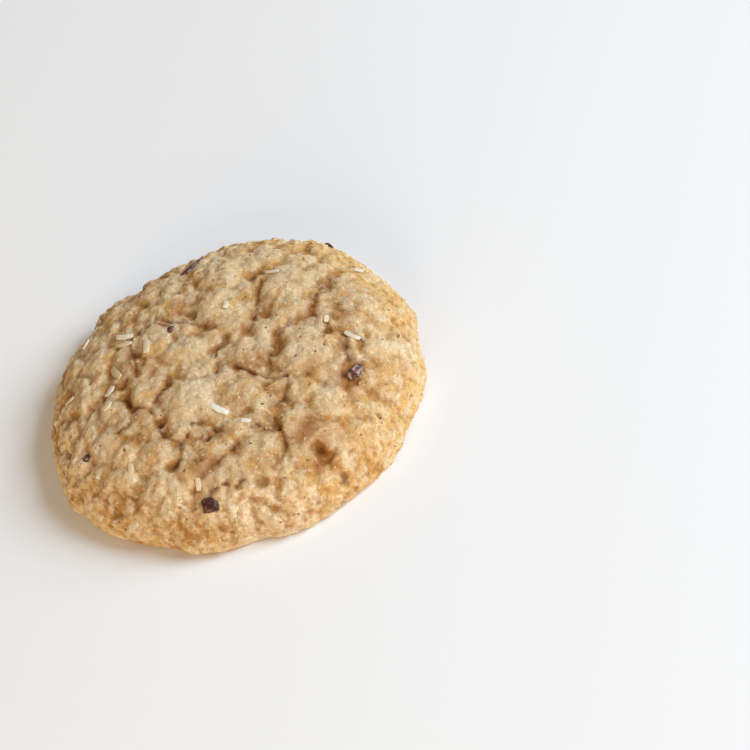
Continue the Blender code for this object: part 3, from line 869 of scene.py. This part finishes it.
# Brown of the hollows: partly moist dough, partly painted shade
HOLLOW_BROWN_AND_SHADE = (0.40, 0.18, 0.045)
CREASE_SHADE = (0.16, 0.055, 0.016)
ORANGE = (0.50, 0.21, 0.04)
UNDER_BROWN = (0.40, 0.215, 0.085)
BRAN = (0.10, 0.038, 0.013)
SPECK = (0.30, 0.135, 0.045)
GRAIN_SIZE = 0.55
FLAKE_SIZE = 2.0
FLAKE_BLUR = 0.3
UNDER_HEIGHTS = (0.3, 0.02)  # mm above the tray where the underside's brown starts, and is full
SCATTER_DEPTHS = (1.0, 0.5, 0.25)  # how far red, green and blue light spread, as shares


def flake_tones(tree, coords):
    """Soft flakes with three numbers from 0 to 1 for each."""
    flakes = node(tree, "ShaderNodeTexVoronoi", feature="SMOOTH_F1", Smoothness=FLAKE_BLUR)
    flakes.inputs["Scale"].default_value = 1 / (FLAKE_SIZE * MM)
    tree.links.new(warped(tree, coords, 1.4, 2.4), flakes.inputs["Vector"])
    split = node(tree, "ShaderNodeSeparateColor")
    tree.links.new(flakes.outputs["Color"], split.inputs["Color"])
    return split.outputs


def dough_grain(tree, coords):
    """Fine grains, which stand out more in some places than in others."""
    cells = node(tree, "ShaderNodeTexVoronoi", Scale=1 / (GRAIN_SIZE * MM))
    tree.links.new(coords, cells.inputs["Vector"])
    grain = ranged(tree, cells.outputs["Distance"], 0.8, 0.0)
    return times(tree, grain, ranged(tree, noise_of(tree, coords, 0.9, shift=0.31), 0.3, 0.7))


def broad_colour(tree, coords, hollow):
    """Flakes, rim gold and patches, with painted light on high ground and painted shade in hollows."""
    flakes = flake_tones(tree, coords)
    # Paler where the relief stands high: partly the dough's own colour, partly painted light on the tops
    raised = ranged(tree, attribute(tree, "rise"), -1.1, 0.5)
    broad = ranged(tree, noise_of(tree, coords, 4.5, shift=0.53), 0.35, 0.62)
    pale_and_lit = mixed(tree, 0.38, mixed(tree, 0.65, flakes["Red"], raised), broad)
    colour = mixed(tree, ranged(tree, pale_and_lit, 0.22, 0.72), TAN, PALE)
    patchy = ranged(tree, noise_of(tree, coords, 2.2, shift=0.23), 0.32, 0.60, 0.1, 0.9)
    # The rim's gold: partly toast, and partly painted light on the right
    colour = mixed(tree, times(tree, attribute(tree, "toast_and_light"), patchy), colour, GOLD)
    colour = mixed(tree, ranged(tree, flakes["Blue"], 0.64, 0.84, 0.0, 0.6), colour, BUTTER)
    colour = mixed(tree, ranged(tree, flakes["Green"], 0.70, 0.88, 0.0, 0.6), colour, FLAKE_WHITE)
    # Creamy patches, partly painted light on the near side and the left rim, and brown ones
    tone_and_light = attribute(tree, "tone_and_light")
    colour = mixed(tree, ranged(tree, tone_and_light, 0.0, 1.0, 0.0, 0.65), colour, CREAM)
    colour = mixed(tree, ranged(tree, tone_and_light, 0.0, -1.0), colour, PATCH_BROWN, "MULTIPLY")
    # Painted light and shade, in part: points over their neighbourhood turn paler, points under it
    # browner
    colour = mixed(tree, ranged(tree, hollow, -0.1, -0.7, 0.0, 0.4), colour, PALE)
    return mixed(tree, ranged(tree, hollow, 0.0, 0.8, 0.0, 0.62), colour, HOLLOW_BROWN_AND_SHADE)


def with_marks(tree, coords, colour, hollow, grain):
    """The broad colour with painted shade in creases and between grains, toasted spots, freckles and
    brown underside.
    """
    # Painted shade: dark brown in the creases and pits, broken by noise
    broken = ranged(tree, noise_of(tree, coords, 1.6, shift=0.37), 0.35, 0.60, 0.15, 0.95)
    colour = mixed(tree, times(tree, attribute(tree, "crease_shade"), broken), colour, CREASE_SHADE)
    # Painted shade in part: darker between the fine grains, where the bump is low
    colour = mixed(tree, ranged(tree, grain, 0.0, 0.6, 0.28, 0.0), colour, TAN, "MULTIPLY")
    ragged = warped(tree, coords, 0.5, 0.35)
    toasted = warped(tree, coords, 1.2, 1.6)
    spot = times(tree, freckles(tree, toasted, 2.2, 0.34, 0.42), ranged(tree, hollow, -0.4, 0.4))
    colour = mixed(tree, times(tree, spot, 0.75), colour, ORANGE)
    colour = mixed(tree, times(tree, freckles(tree, ragged, 0.9, 0.13, 0.50), 0.75), colour, BRAN)
    colour = mixed(tree, times(tree, freckles(tree, ragged, 0.48, 0.27, 0.55), 0.55), colour, SPECK)
    split = node(tree, "ShaderNodeSeparateXYZ")
    tree.links.new(coords, split.inputs["Vector"])
    start, full = UNDER_HEIGHTS
    under = ranged(tree, split.outputs["Z"], start * MM, full * MM, 0.0, 0.75)
    return mixed(tree, under, colour, UNDER_BROWN)


def dough_material():
    material, tree, shader = start_material("baked_dough")
    coords = node(tree, "ShaderNodeTexCoord").outputs["Object"]
    hollow = attribute(tree, "hollow")
    grain = dough_grain(tree, coords)
    colour = broad_colour(tree, coords, hollow)
    colour = with_marks(tree, coords, colour, hollow, grain)
    tree.links.new(colour, shader.inputs["Base Color"])
    rough = ranged(tree, noise_of(tree, coords, 1.2, shift=0.41), 0.3, 0.7, 0.75, 0.95)
    tree.links.new(rough, shader.inputs["Roughness"])
    shader.inputs["Specular IOR Level"].default_value = 0.18
    shader.inputs["Subsurface Weight"].default_value = 0.55
    shader.inputs["Subsurface Radius"].default_value = SCATTER_DEPTHS
    shader.inputs["Subsurface Scale"].default_value = 0.8 * MM
    add_bump(tree, shader, grain, 0.08)
    return material


dough.data.materials.append(dough_material())
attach(dough, "root")
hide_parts("cookie")
print("dough finished:", len(dough.data.materials[0].node_tree.nodes), "nodes")

# %% [markdown]
# Toppings lie on the dough wherever a line dropped onto it first touches. A search tree of the
# dough's triangles finds that place. A stiff topping bridges small bumps, so it takes the mean
# slope of the dough round it, not that of the one triangle below. The same helper seats shreds,
# bits and specks, so none of them floats or sinks out of sight. On the far side, where the
# picture shows nothing, the line comes in from the side at a seeded angle.

# %% A way to seat toppings
SEAT_REACH = 1.4  # a topping follows the mean slope of the dough this far round
FAR_ARC = (8, 172)  # plan angles of the far side
FAR_HEIGHT = (3.5, 9.5)
FAR_JITTER = (0.15, 0.85)  # where in its own share of the arc a topping may lie
surface = BVHTree.FromPolygons(
    [vertex.co.copy() for vertex in dough.data.vertices],
    [tuple(face.vertices) for face in dough.data.polygons],
)


def seat_place(start, inwards, turn, sunk):
    """The matrix that lays a topping where a line meets the dough, headed by its plan turn."""
    place = surface.ray_cast(start, inwards)[0]
    around = surface.find_nearest_range(place, SEAT_REACH * MM)
    normal = sum((near[1] for near in around), Vector()).normalized()
    heading = Vector((math.cos(math.radians(turn)), math.sin(math.radians(turn)), 0))
    along = (heading - normal * heading.dot(normal)).normalized()
    lay = Matrix((along, normal.cross(along), normal)).transposed().to_4x4()
    return Matrix.Translation(place - normal * sunk * MM) @ lay


def from_above(x, y):
    return Vector((x * MM, y * MM, 2 * CROWN_HEIGHT * MM)), Vector((0, 0, -1))


def from_the_side(angle, height):
    out = Vector((math.cos(math.radians(angle)), math.sin(math.radians(angle)), 0))
    return out * DIAMETER * MM + Vector((0, 0, height * MM)), -out


def far_angles(count, draw):
    start, end = FAR_ARC
    share = (end - start) / count
    return [start + share * (n + draw.uniform(*FAR_JITTER)) for n in range(count)]


def join(pieces, name, material):
    """Joins placed pieces into one mesh at the origin and says what it stands for."""
    bpy.ops.object.select_all(action="DESELECT")
    for piece in pieces:
        piece.select_set(True)
    bpy.context.view_layer.objects.active = pieces[0]
    bpy.ops.object.transform_apply(location=True, rotation=True, scale=True)
    bpy.ops.object.join()
    joined = bpy.context.object
    joined.name = name
    joined.data.materials.clear()
    joined.data.materials.append(material)
    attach(joined, "root")
    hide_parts("cookie")
    print(name + ":", len(joined.data.polygons), "faces")


print("search tree of", len(dough.data.polygons), "triangles")

# %% [markdown]
# A coconut shred is a thin strip cut from white flesh: narrow at the ends, a little bent, with
# soft edges. By hand it would be a cube, cut across a few times, pinched and bent. Here one
# function does the same with edit-mode operators, and each shred gets its own length and width.
# Those that sank into the wet dough took up its colour, so each also carries a number for that.

# %% Coconut shreds
SHREDS = (
    # x, y, turn, length, width, and how far it is soaked with dough, from 0 to 1
    (-4.0, -12.0, -56, 3.8, 1.3, 0.0),
    (-14.5, 16.0, -33, 3.4, 1.5, 0.35),
    (-15.0, 14.0, -28, 3.0, 0.9, 0.7),
    (-11.5, 10.5, 75, 3.6, 1.3, 0.8),
    (-18.5, 8.5, -72, 4.2, 1.5, 0.9),
    (-21.0, 5.0, 39, 2.5, 1.3, 0.5),
    (-22.5, 1.5, 30, 2.2, 1.5, 0.85),
    (5.0, 11.0, 60, 1.6, 1.1, 0.15),
    (-0.5, -17.0, -30, 1.8, 1.0, 0.1),
    (23.5, -7.5, -55, 3.4, 1.0, 0.2),
    (20.5, -2.0, 70, 1.6, 1.0, 0.4),
    (15.5, 16.0, -33, 2.8, 1.1, 0.6),
    (-13.0, -24.0, 70, 2.4, 1.2, 0.9),
    (-23.0, -14.0, 70, 2.2, 1.2, 0.9),
)
SHRED_THICK = 0.4
SHRED_SUNK = -0.15  # of its middle, which lies over the dough
SHRED_BEND = 0.03  # as a share of its length
SHRED_WIDTH = 0.36  # of a far shred, as a share of its length
SHRED_CUTS = 5
SHRED_PINCH = 0.35  # how much narrower a shred is at its ends
SHRED_THIN = 0.3  # how much thinner it is there
SHRED_SOFT = 0.08
FAR_SHREDS = 8
FAR_SHRED_SIZE = (2.2, 3.8)
FAR_SOAK = (0.1, 0.8)
TOPPING_SEED = 5
draw = random.Random(TOPPING_SEED)
tint = random.Random(TOPPING_SEED + 1)  # a draw of its own, which leaves the sizes as they are


def make_shred(length, width, place, soaked):
    bpy.ops.object.select_all(action="DESELECT")
    bpy.ops.mesh.primitive_cube_add(size=1)
    shred = bpy.context.object
    bpy.ops.object.mode_set(mode="EDIT")
    bpy.ops.mesh.select_all(action="DESELECT")
    bm = bmesh.from_edit_mesh(shred.data)
    # The four edges that run along the strip are the ones to cut
    for edge in bm.edges:
        edge.select = abs(edge.verts[0].co.x - edge.verts[1].co.x) > 0.5
    bm.select_flush_mode()
    bpy.ops.mesh.subdivide(number_cuts=SHRED_CUTS)
    bpy.ops.object.mode_set(mode="OBJECT")
    for vertex in shred.data.vertices:
        end = abs(2 * vertex.co.x)
        x = vertex.co.x * length
        y = vertex.co.y * width * (1 - SHRED_PINCH * end**2) + SHRED_BEND * length * (end**2 - 0.5)
        z = vertex.co.z * SHRED_THICK * (1 - SHRED_THIN * end)
        vertex.co = Vector((x, y, z)) * MM
    soften = shred.modifiers.new("soften", "BEVEL")
    soften.width = SHRED_SOFT * MM
    soften.segments = 2
    bpy.ops.object.modifier_apply(modifier=soften.name)
    bpy.ops.object.shade_smooth()
    set_attribute(shred.data, "shade", np.full(len(shred.data.vertices), soaked))
    shred.matrix_world = place
    return shred


shreds = []
for x, y, turn, length, width, soaked in SHREDS:
    place = seat_place(*from_above(x, y), turn, SHRED_SUNK)
    shreds.append(make_shred(length, width, place, soaked))
for angle in far_angles(FAR_SHREDS, draw):
    length = draw.uniform(*FAR_SHRED_SIZE)
    line = from_the_side(angle, draw.uniform(*FAR_HEIGHT))
    place = seat_place(*line, draw.uniform(0, 180), SHRED_SUNK)
    shreds.append(make_shred(length, SHRED_WIDTH * length, place, tint.uniform(*FAR_SOAK)))
print(len(shreds), "shreds")

# %% [markdown]
# Coconut flesh is a dull white with faint clouds in it. Each shred's own number mixes that white
# towards the pale colour of the dough, and a fine bump gives it a fibrous surface.

# %% The finish of coconut
COCONUT_SHADE, COCONUT_WHITE = (0.70, 0.60, 0.46), (0.84, 0.80, 0.72)


def coconut_material():
    material, tree, shader = start_material("coconut_flesh")
    coords = node(tree, "ShaderNodeTexCoord").outputs["Object"]
    cloudy = ranged(tree, noise_of(tree, coords, 1.1), 0.35, 0.65)
    colour = mixed(tree, cloudy, COCONUT_SHADE, COCONUT_WHITE)
    colour = mixed(tree, attribute(tree, "shade"), colour, PALE)
    tree.links.new(colour, shader.inputs["Base Color"])
    rough = ranged(tree, noise_of(tree, coords, 0.6, shift=0.2), 0.3, 0.7, 0.35, 0.6)
    tree.links.new(rough, shader.inputs["Roughness"])
    add_bump(tree, shader, noise_of(tree, coords, 0.25, shift=0.5), 0.05)
    return material


join(shreds, "coconut_shreds", coconut_material())

# %% [markdown]
# One flake on the left rim is not coconut. It is a rolled oat, toasted to a yellow gold, and it
# takes the same form as a shred, so the same function makes it. A last thin strand of coconut
# skin arches over a crease. It is a curve with a round section, turned into a mesh.

# %% An oat flake and a strand
OAT_FLAKE = (-32.0, 1.0, 83, 4.2, 1.4)  # x, y, turn, length and width
STRAND = (
    # x, y and height over the dough
    (-8.0, 15.6, 0.0),
    (-6.9, 14.6, 0.5),
    (-6.0, 13.4, 0.5),
    (-5.7, 12.2, 0.0),
)
STRAND_THICK = 0.3
OAT_DARK, OAT_LIGHT = (0.70, 0.46, 0.19), (0.84, 0.66, 0.40)
SKIN_DARK, SKIN_LIGHT = (0.50, 0.26, 0.15), (0.72, 0.45, 0.30)


def dry_material(name, dark, light, roughness):
    material, tree, shader = start_material(name)
    coords = node(tree, "ShaderNodeTexCoord").outputs["Object"]
    colour = mixed(tree, ranged(tree, noise_of(tree, coords, 1.2), 0.35, 0.65), dark, light)
    tree.links.new(colour, shader.inputs["Base Color"])
    rough = noise_of(tree, coords, 0.5, shift=0.2)
    rough = ranged(tree, rough, 0.3, 0.7, roughness - 0.1, roughness + 0.1)
    tree.links.new(rough, shader.inputs["Roughness"])
    add_bump(tree, shader, noise_of(tree, coords, 0.3, shift=0.5), 0.06)
    return material


x, y, turn, length, width = OAT_FLAKE
flake = make_shred(length, width, seat_place(*from_above(x, y), turn, SHRED_SUNK), 0.0)
oat_finish = dry_material("toasted_oat", OAT_DARK, OAT_LIGHT, 0.6)
join([flake], "oat_flake", oat_finish)

bend = bpy.data.curves.new("strand", "CURVE")
bend.dimensions = "3D"
bend.bevel_depth = STRAND_THICK / 2 * MM
bend.use_fill_caps = True
line = bend.splines.new("NURBS")
line.points.add(len(STRAND) - 1)
line.use_endpoint_u = True
line.order_u = 4
for point, (x, y, over) in zip(line.points, STRAND):
    place = seat_place(*from_above(x, y), 0, -over).translation
    point.co = (*place, 1)
strand = bpy.data.objects.new("strand", bend)
bpy.context.scene.collection.objects.link(strand)
only(strand)
bpy.ops.object.convert(target="MESH")
strand_finish = dry_material("coconut_skin", SKIN_DARK, SKIN_LIGHT, 0.5)
join([bpy.context.object], "skin_strand", strand_finish)

# %% [markdown]
# The dark bits are broken nut with its skin. Broken things have flat sides that meet at dull
# corners, so a small ball is pressed flat on several seeded sides. Where the skin is torn off,
# lighter flesh shows, so each bit carries a number for how much of it is gone. The block by the
# front edge is dark chocolate. It is a cube, bisected at one corner and bevelled, and a little
# noise makes its faces uneven. The specks are bran no bigger than half a millimetre.

# %% Nut bits
CHIP = (-12.5, -28.5, -12, 2.8, 2.8, 2.2)  # x, y, turn, length, width and height
CHIP_SUNK = 0.5
BITS = (
    # x, y, turn, length, width, height, and how much of its skin is torn off
    (21.0, -15.5, 35, 3.8, 3.2, 2.6, 0.9),
    (-6.0, 12.0, 20, 2.2, 1.7, 1.2, 0.1),
    (2.0, 27.3, 24, 7.0, 1.9, 1.3, 0.5),
    (-30.0, -5.5, 20, 2.3, 1.6, 0.9, 0.6),
)
SPECKS = (
    # x and y
    (10.0, -9.5),
    (-1.5, -22.0),
    (-1.5, -26.0),
    (6.5, -28.8),
    (4.5, -1.5),
    (9.0, 12.0),
    (15.5, -2.0),
    (-30.5, 15.0),
    (-22.0, 0.0),
    (11.5, -25.5),
    (21.5, -25.0),
    (-4.3, -21.2),
    (5.5, -19.5),
    (-17.5, -27.7),
    (-15.0, -8.0),
)
SPECK_SIZE = (0.3, 0.5)
SPECK_SUNK = 0.1
BIT_SIDES = 7
BIT_CUT = 0.36  # of each flat side from the middle of a ball of radius 0.5
BIT_WAVES, BIT_ROUGH = 4, 0.03
BIT_SUNK = 0.1  # as a share of its height, or of a far bit's length
FAR_BITS = 3
FAR_BIT_SIZE = (1.6, 2.8)
FAR_BIT_WIDE, FAR_BIT_HIGH = 0.8, 0.6  # as shares of its length
CHIP_CORNER, CHIP_FACING = (0.34, 0.30, 0.2), (0.72, 0.62, 0.30)  # the cut on a cube of side 1
CHIP_DULL = 0.14  # the bevel of its edges
CHIP_WAVES, CHIP_ROUGH = 3.5, 0.08
SMOOTH_UNDER = math.radians(40)  # edges that turn by less than this are shaded smooth


def make_bit(length, width, height, place, bare=0.0):
    bpy.ops.object.select_all(action="DESELECT")
    bpy.ops.mesh.primitive_ico_sphere_add(subdivisions=4, radius=0.5)
    bit = bpy.context.object
    sides = [Vector([draw.uniform(-1, 1) for _ in range(3)]).normalized() for _ in range(BIT_SIDES)]
    for vertex in bit.data.vertices:
        point = vertex.co.copy()
        for side in sides:
            point -= side * max(0.0, point.dot(side) - BIT_CUT)
        point += noise.noise_vector(point * BIT_WAVES) * BIT_ROUGH
        vertex.co = Vector((point.x * length, point.y * width, point.z * height)) * MM
    bpy.ops.object.shade_smooth()
    set_attribute(bit.data, "shade", np.full(len(bit.data.vertices), bare))
    bit.matrix_world = place
    return bit


def make_chip(length, width, height, place):
    """A block with one long side cut short, its corners dulled and its faces uneven."""
    bpy.ops.object.select_all(action="DESELECT")
    bpy.ops.mesh.primitive_cube_add(size=1)
    chip = bpy.context.object
    bpy.ops.object.mode_set(mode="EDIT")
    bpy.ops.mesh.bisect(
        plane_co=CHIP_CORNER, plane_no=CHIP_FACING, use_fill=True, clear_outer=True
    )
    bpy.ops.mesh.select_all(action="SELECT")
    bpy.ops.mesh.bevel(offset=CHIP_DULL, segments=2, affect="EDGES")
    bpy.ops.mesh.select_all(action="SELECT")
    bpy.ops.mesh.quads_convert_to_tris()
    bpy.ops.mesh.subdivide(number_cuts=3)
    bpy.ops.object.mode_set(mode="OBJECT")
    for vertex in chip.data.vertices:
        point = vertex.co + noise.noise_vector(vertex.co * CHIP_WAVES) * CHIP_ROUGH
        vertex.co = Vector((point.x * length, point.y * width, point.z * height)) * MM
    bpy.ops.object.shade_smooth_by_angle(angle=SMOOTH_UNDER)
    chip.matrix_world = place
    return chip


x, y, turn, length, width, height = CHIP
bits = [make_chip(length, width, height, seat_place(*from_above(x, y), turn, CHIP_SUNK))]
for x, y, turn, length, width, height, bare in BITS:
    place = seat_place(*from_above(x, y), turn, BIT_SUNK * height)
    bits.append(make_bit(length, width, height, place, bare))
for angle in far_angles(FAR_BITS, draw):
    length = draw.uniform(*FAR_BIT_SIZE)
    line = from_the_side(angle, draw.uniform(*FAR_HEIGHT))
    place = seat_place(*line, draw.uniform(0, 180), BIT_SUNK * length)
    bits.append(make_bit(length, FAR_BIT_WIDE * length, FAR_BIT_HIGH * length, place))
for x, y in SPECKS:
    size = tint.uniform(*SPECK_SIZE)
    bits.append(make_bit(size, size, size, seat_place(*from_above(x, y), 0, SPECK_SUNK)))
print(len(bits), "bits and specks")

# %% [markdown]
# Nut skin is almost black and a little glossy, and worn to a red brown in places. The flesh
# under it shows in ragged stretches, which a noise picks on the bits that carry that number.

# %% The finish of nut and skin
NUT_SKIN, WORN_SKIN, NUT_FLESH = (0.040, 0.009, 0.004), (0.16, 0.050, 0.022), (0.40, 0.25, 0.19)


def nut_material():
    material, tree, shader = start_material("nut_and_skin")
    coords = node(tree, "ShaderNodeTexCoord").outputs["Object"]
    torn = ranged(tree, noise_of(tree, coords, 0.9), 0.45, 0.7)
    colour = mixed(tree, torn, NUT_SKIN, WORN_SKIN)
    flesh = ranged(tree, noise_of(tree, coords, 0.8, shift=0.8), 0.46, 0.60)
    colour = mixed(tree, times(tree, attribute(tree, "shade"), flesh), colour, NUT_FLESH)
    tree.links.new(colour, shader.inputs["Base Color"])
    rough = ranged(tree, noise_of(tree, coords, 0.5, shift=0.3), 0.3, 0.7, 0.3, 0.6)
    tree.links.new(rough, shader.inputs["Roughness"])
    add_bump(tree, shader, noise_of(tree, coords, 0.4, shift=0.6), 0.12)
    return material


join(bits, "nut_bits", nut_material())

# %% [markdown]
# Up close, dough is covered in loose and half-baked crumbs: pale ones, golden ones and a few
# brown ones. One ball of 20 faces is copied a thousand times, which is too many for operators,
# so the copies are made as one array. Each is flattened, made uneven, spun and half sunk at a
# random face of the dough, picked by its area so the crumbs spread evenly. Hollows and the foot
# of the side stay clear, as crumbs there would catch the light like beads.

# %% Crumbs
CRUMB_COUNT = 1000
CRUMB_SIZE = (0.3, 0.95)  # mm
CRUMB_SEED = 21
CRUMB_HOLLOW = 0.1  # dough more hollow than this stays clear of crumbs
CRUMB_LOWEST = 0.9  # mm above the tray
CRUMB_SMALLER = 2.2  # a higher power leaves fewer large crumbs
CRUMB_UNEVEN = 0.35  # how far each corner of a crumb moves in or out
CRUMB_SHAPE = (1.0, 0.7, 0.45)  # length, width and height, as shares of its size
CRUMB_TILT = 0.25  # how far a crumb leans off the slope of the dough
CRUMB_SUNK = 0.12  # as a share of its height


def scatter(count, sizes, seed):
    """Points and faces of many small crumbs on the dough, and a random number for each."""
    numbers = np.random.default_rng(seed)
    mesh = dough.data
    area = np.empty(len(mesh.polygons))
    mesh.polygons.foreach_get("area", area)
    centres, normals = np.empty(len(area) * 3), np.empty(len(area) * 3)
    mesh.polygons.foreach_get("center", centres)
    mesh.polygons.foreach_get("normal", normals)
    centres, normals = centres.reshape(-1, 3), normals.reshape(-1, 3)
    area[centres[:, 2] < CRUMB_LOWEST * MM] = 0
    hollow = np.empty(len(mesh.vertices))
    mesh.attributes["hollow"].data.foreach_get("value", hollow)
    corners = np.empty(len(area) * 3, int)
    mesh.polygons.foreach_get("vertices", corners)
    area[hollow[corners.reshape(-1, 3)].mean(1) > CRUMB_HOLLOW] = 0
    picks = numbers.choice(len(area), count, p=area / area.sum())
    ball = bmesh.new()
    bmesh.ops.create_icosphere(ball, subdivisions=1, radius=0.5)
    shape = np.array([vertex.co for vertex in ball.verts])
    faces = np.array([[vertex.index for vertex in face.verts] for face in ball.faces])
    ball.free()
    size = numbers.uniform(0, 1, count) ** CRUMB_SMALLER * (sizes[1] - sizes[0]) + sizes[0]
    every = shape[None] * (1 + numbers.uniform(-CRUMB_UNEVEN, CRUMB_UNEVEN, (count, len(shape), 1)))
    every = every * np.array(CRUMB_SHAPE) * size[:, None, None] * MM
    up = normals[picks] + numbers.normal(0, CRUMB_TILT, (count, 3))
    up /= np.linalg.norm(up, axis=1)[:, None]
    side = np.cross(up, numbers.normal(0, 1, (count, 3)))
    side /= np.linalg.norm(side, axis=1)[:, None]
    turned = np.stack([side, np.cross(up, side), up], axis=1)
    placed = np.einsum("nvi,nij->nvj", every, turned) + centres[picks][:, None]
    placed -= (normals[picks] * size[:, None] * CRUMB_SHAPE[2] * CRUMB_SUNK * MM)[:, None]
    joined = faces[None] + (np.arange(count) * len(shape))[:, None, None]
    shade = np.repeat(numbers.uniform(0, 1, count), len(shape))
    return placed.reshape(-1, 3), joined.reshape(-1, 3), shade


scattered = scatter(CRUMB_COUNT, CRUMB_SIZE, CRUMB_SEED)
print("crumbs scattered:", CRUMB_COUNT)

# %% [markdown]
# Each crumb carries its own number from 0 to 1, and a colour ramp turns that number into a
# shade: most are as pale or as golden as the dough, and a few are dark. One material then
# serves them all.

# %% The crumbs' finish
CRUMB_ROUGHNESS = 0.75
CRUMB_COLOURS = (
    # number and colour
    (0.0, (0.68, 0.51, 0.30)),
    (0.25, (0.62, 0.43, 0.23)),
    (0.60, (0.58, 0.38, 0.18)),
    (0.85, (0.40, 0.22, 0.09)),
    (1.0, (0.16, 0.07, 0.03)),
)


def add_scatter(name, scattered, material):
    placed, faces, shade = scattered
    mesh = bpy.data.meshes.new(name)
    mesh.from_pydata(placed.tolist(), [], faces.tolist())
    set_attribute(mesh, "shade", shade)
    piece = bpy.data.objects.new(name, mesh)
    bpy.context.scene.collection.objects.link(piece)
    mesh.materials.append(material)
    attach(piece, "root")
    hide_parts("cookie")
    print(name + ":", len(mesh.polygons), "faces")


def shade_material(name, stops, roughness):
    """A finish whose colour follows each crumb's own number."""
    material, tree, shader = start_material(name)
    ramp = tree.nodes.new("ShaderNodeValToRGB")
    while len(ramp.color_ramp.elements) < len(stops):
        ramp.color_ramp.elements.new(0.5)
    for element, (where, colour) in zip(ramp.color_ramp.elements, stops):
        element.position = where
        element.color = (*colour, 1)
    tree.links.new(attribute(tree, "shade"), ramp.inputs["Fac"])
    tree.links.new(ramp.outputs["Color"], shader.inputs["Base Color"])
    shader.inputs["Roughness"].default_value = roughness
    return material


crumb_finish = shade_material("crumb", CRUMB_COLOURS, CRUMB_ROUGHNESS)
add_scatter("loose_crumbs", scattered, crumb_finish)
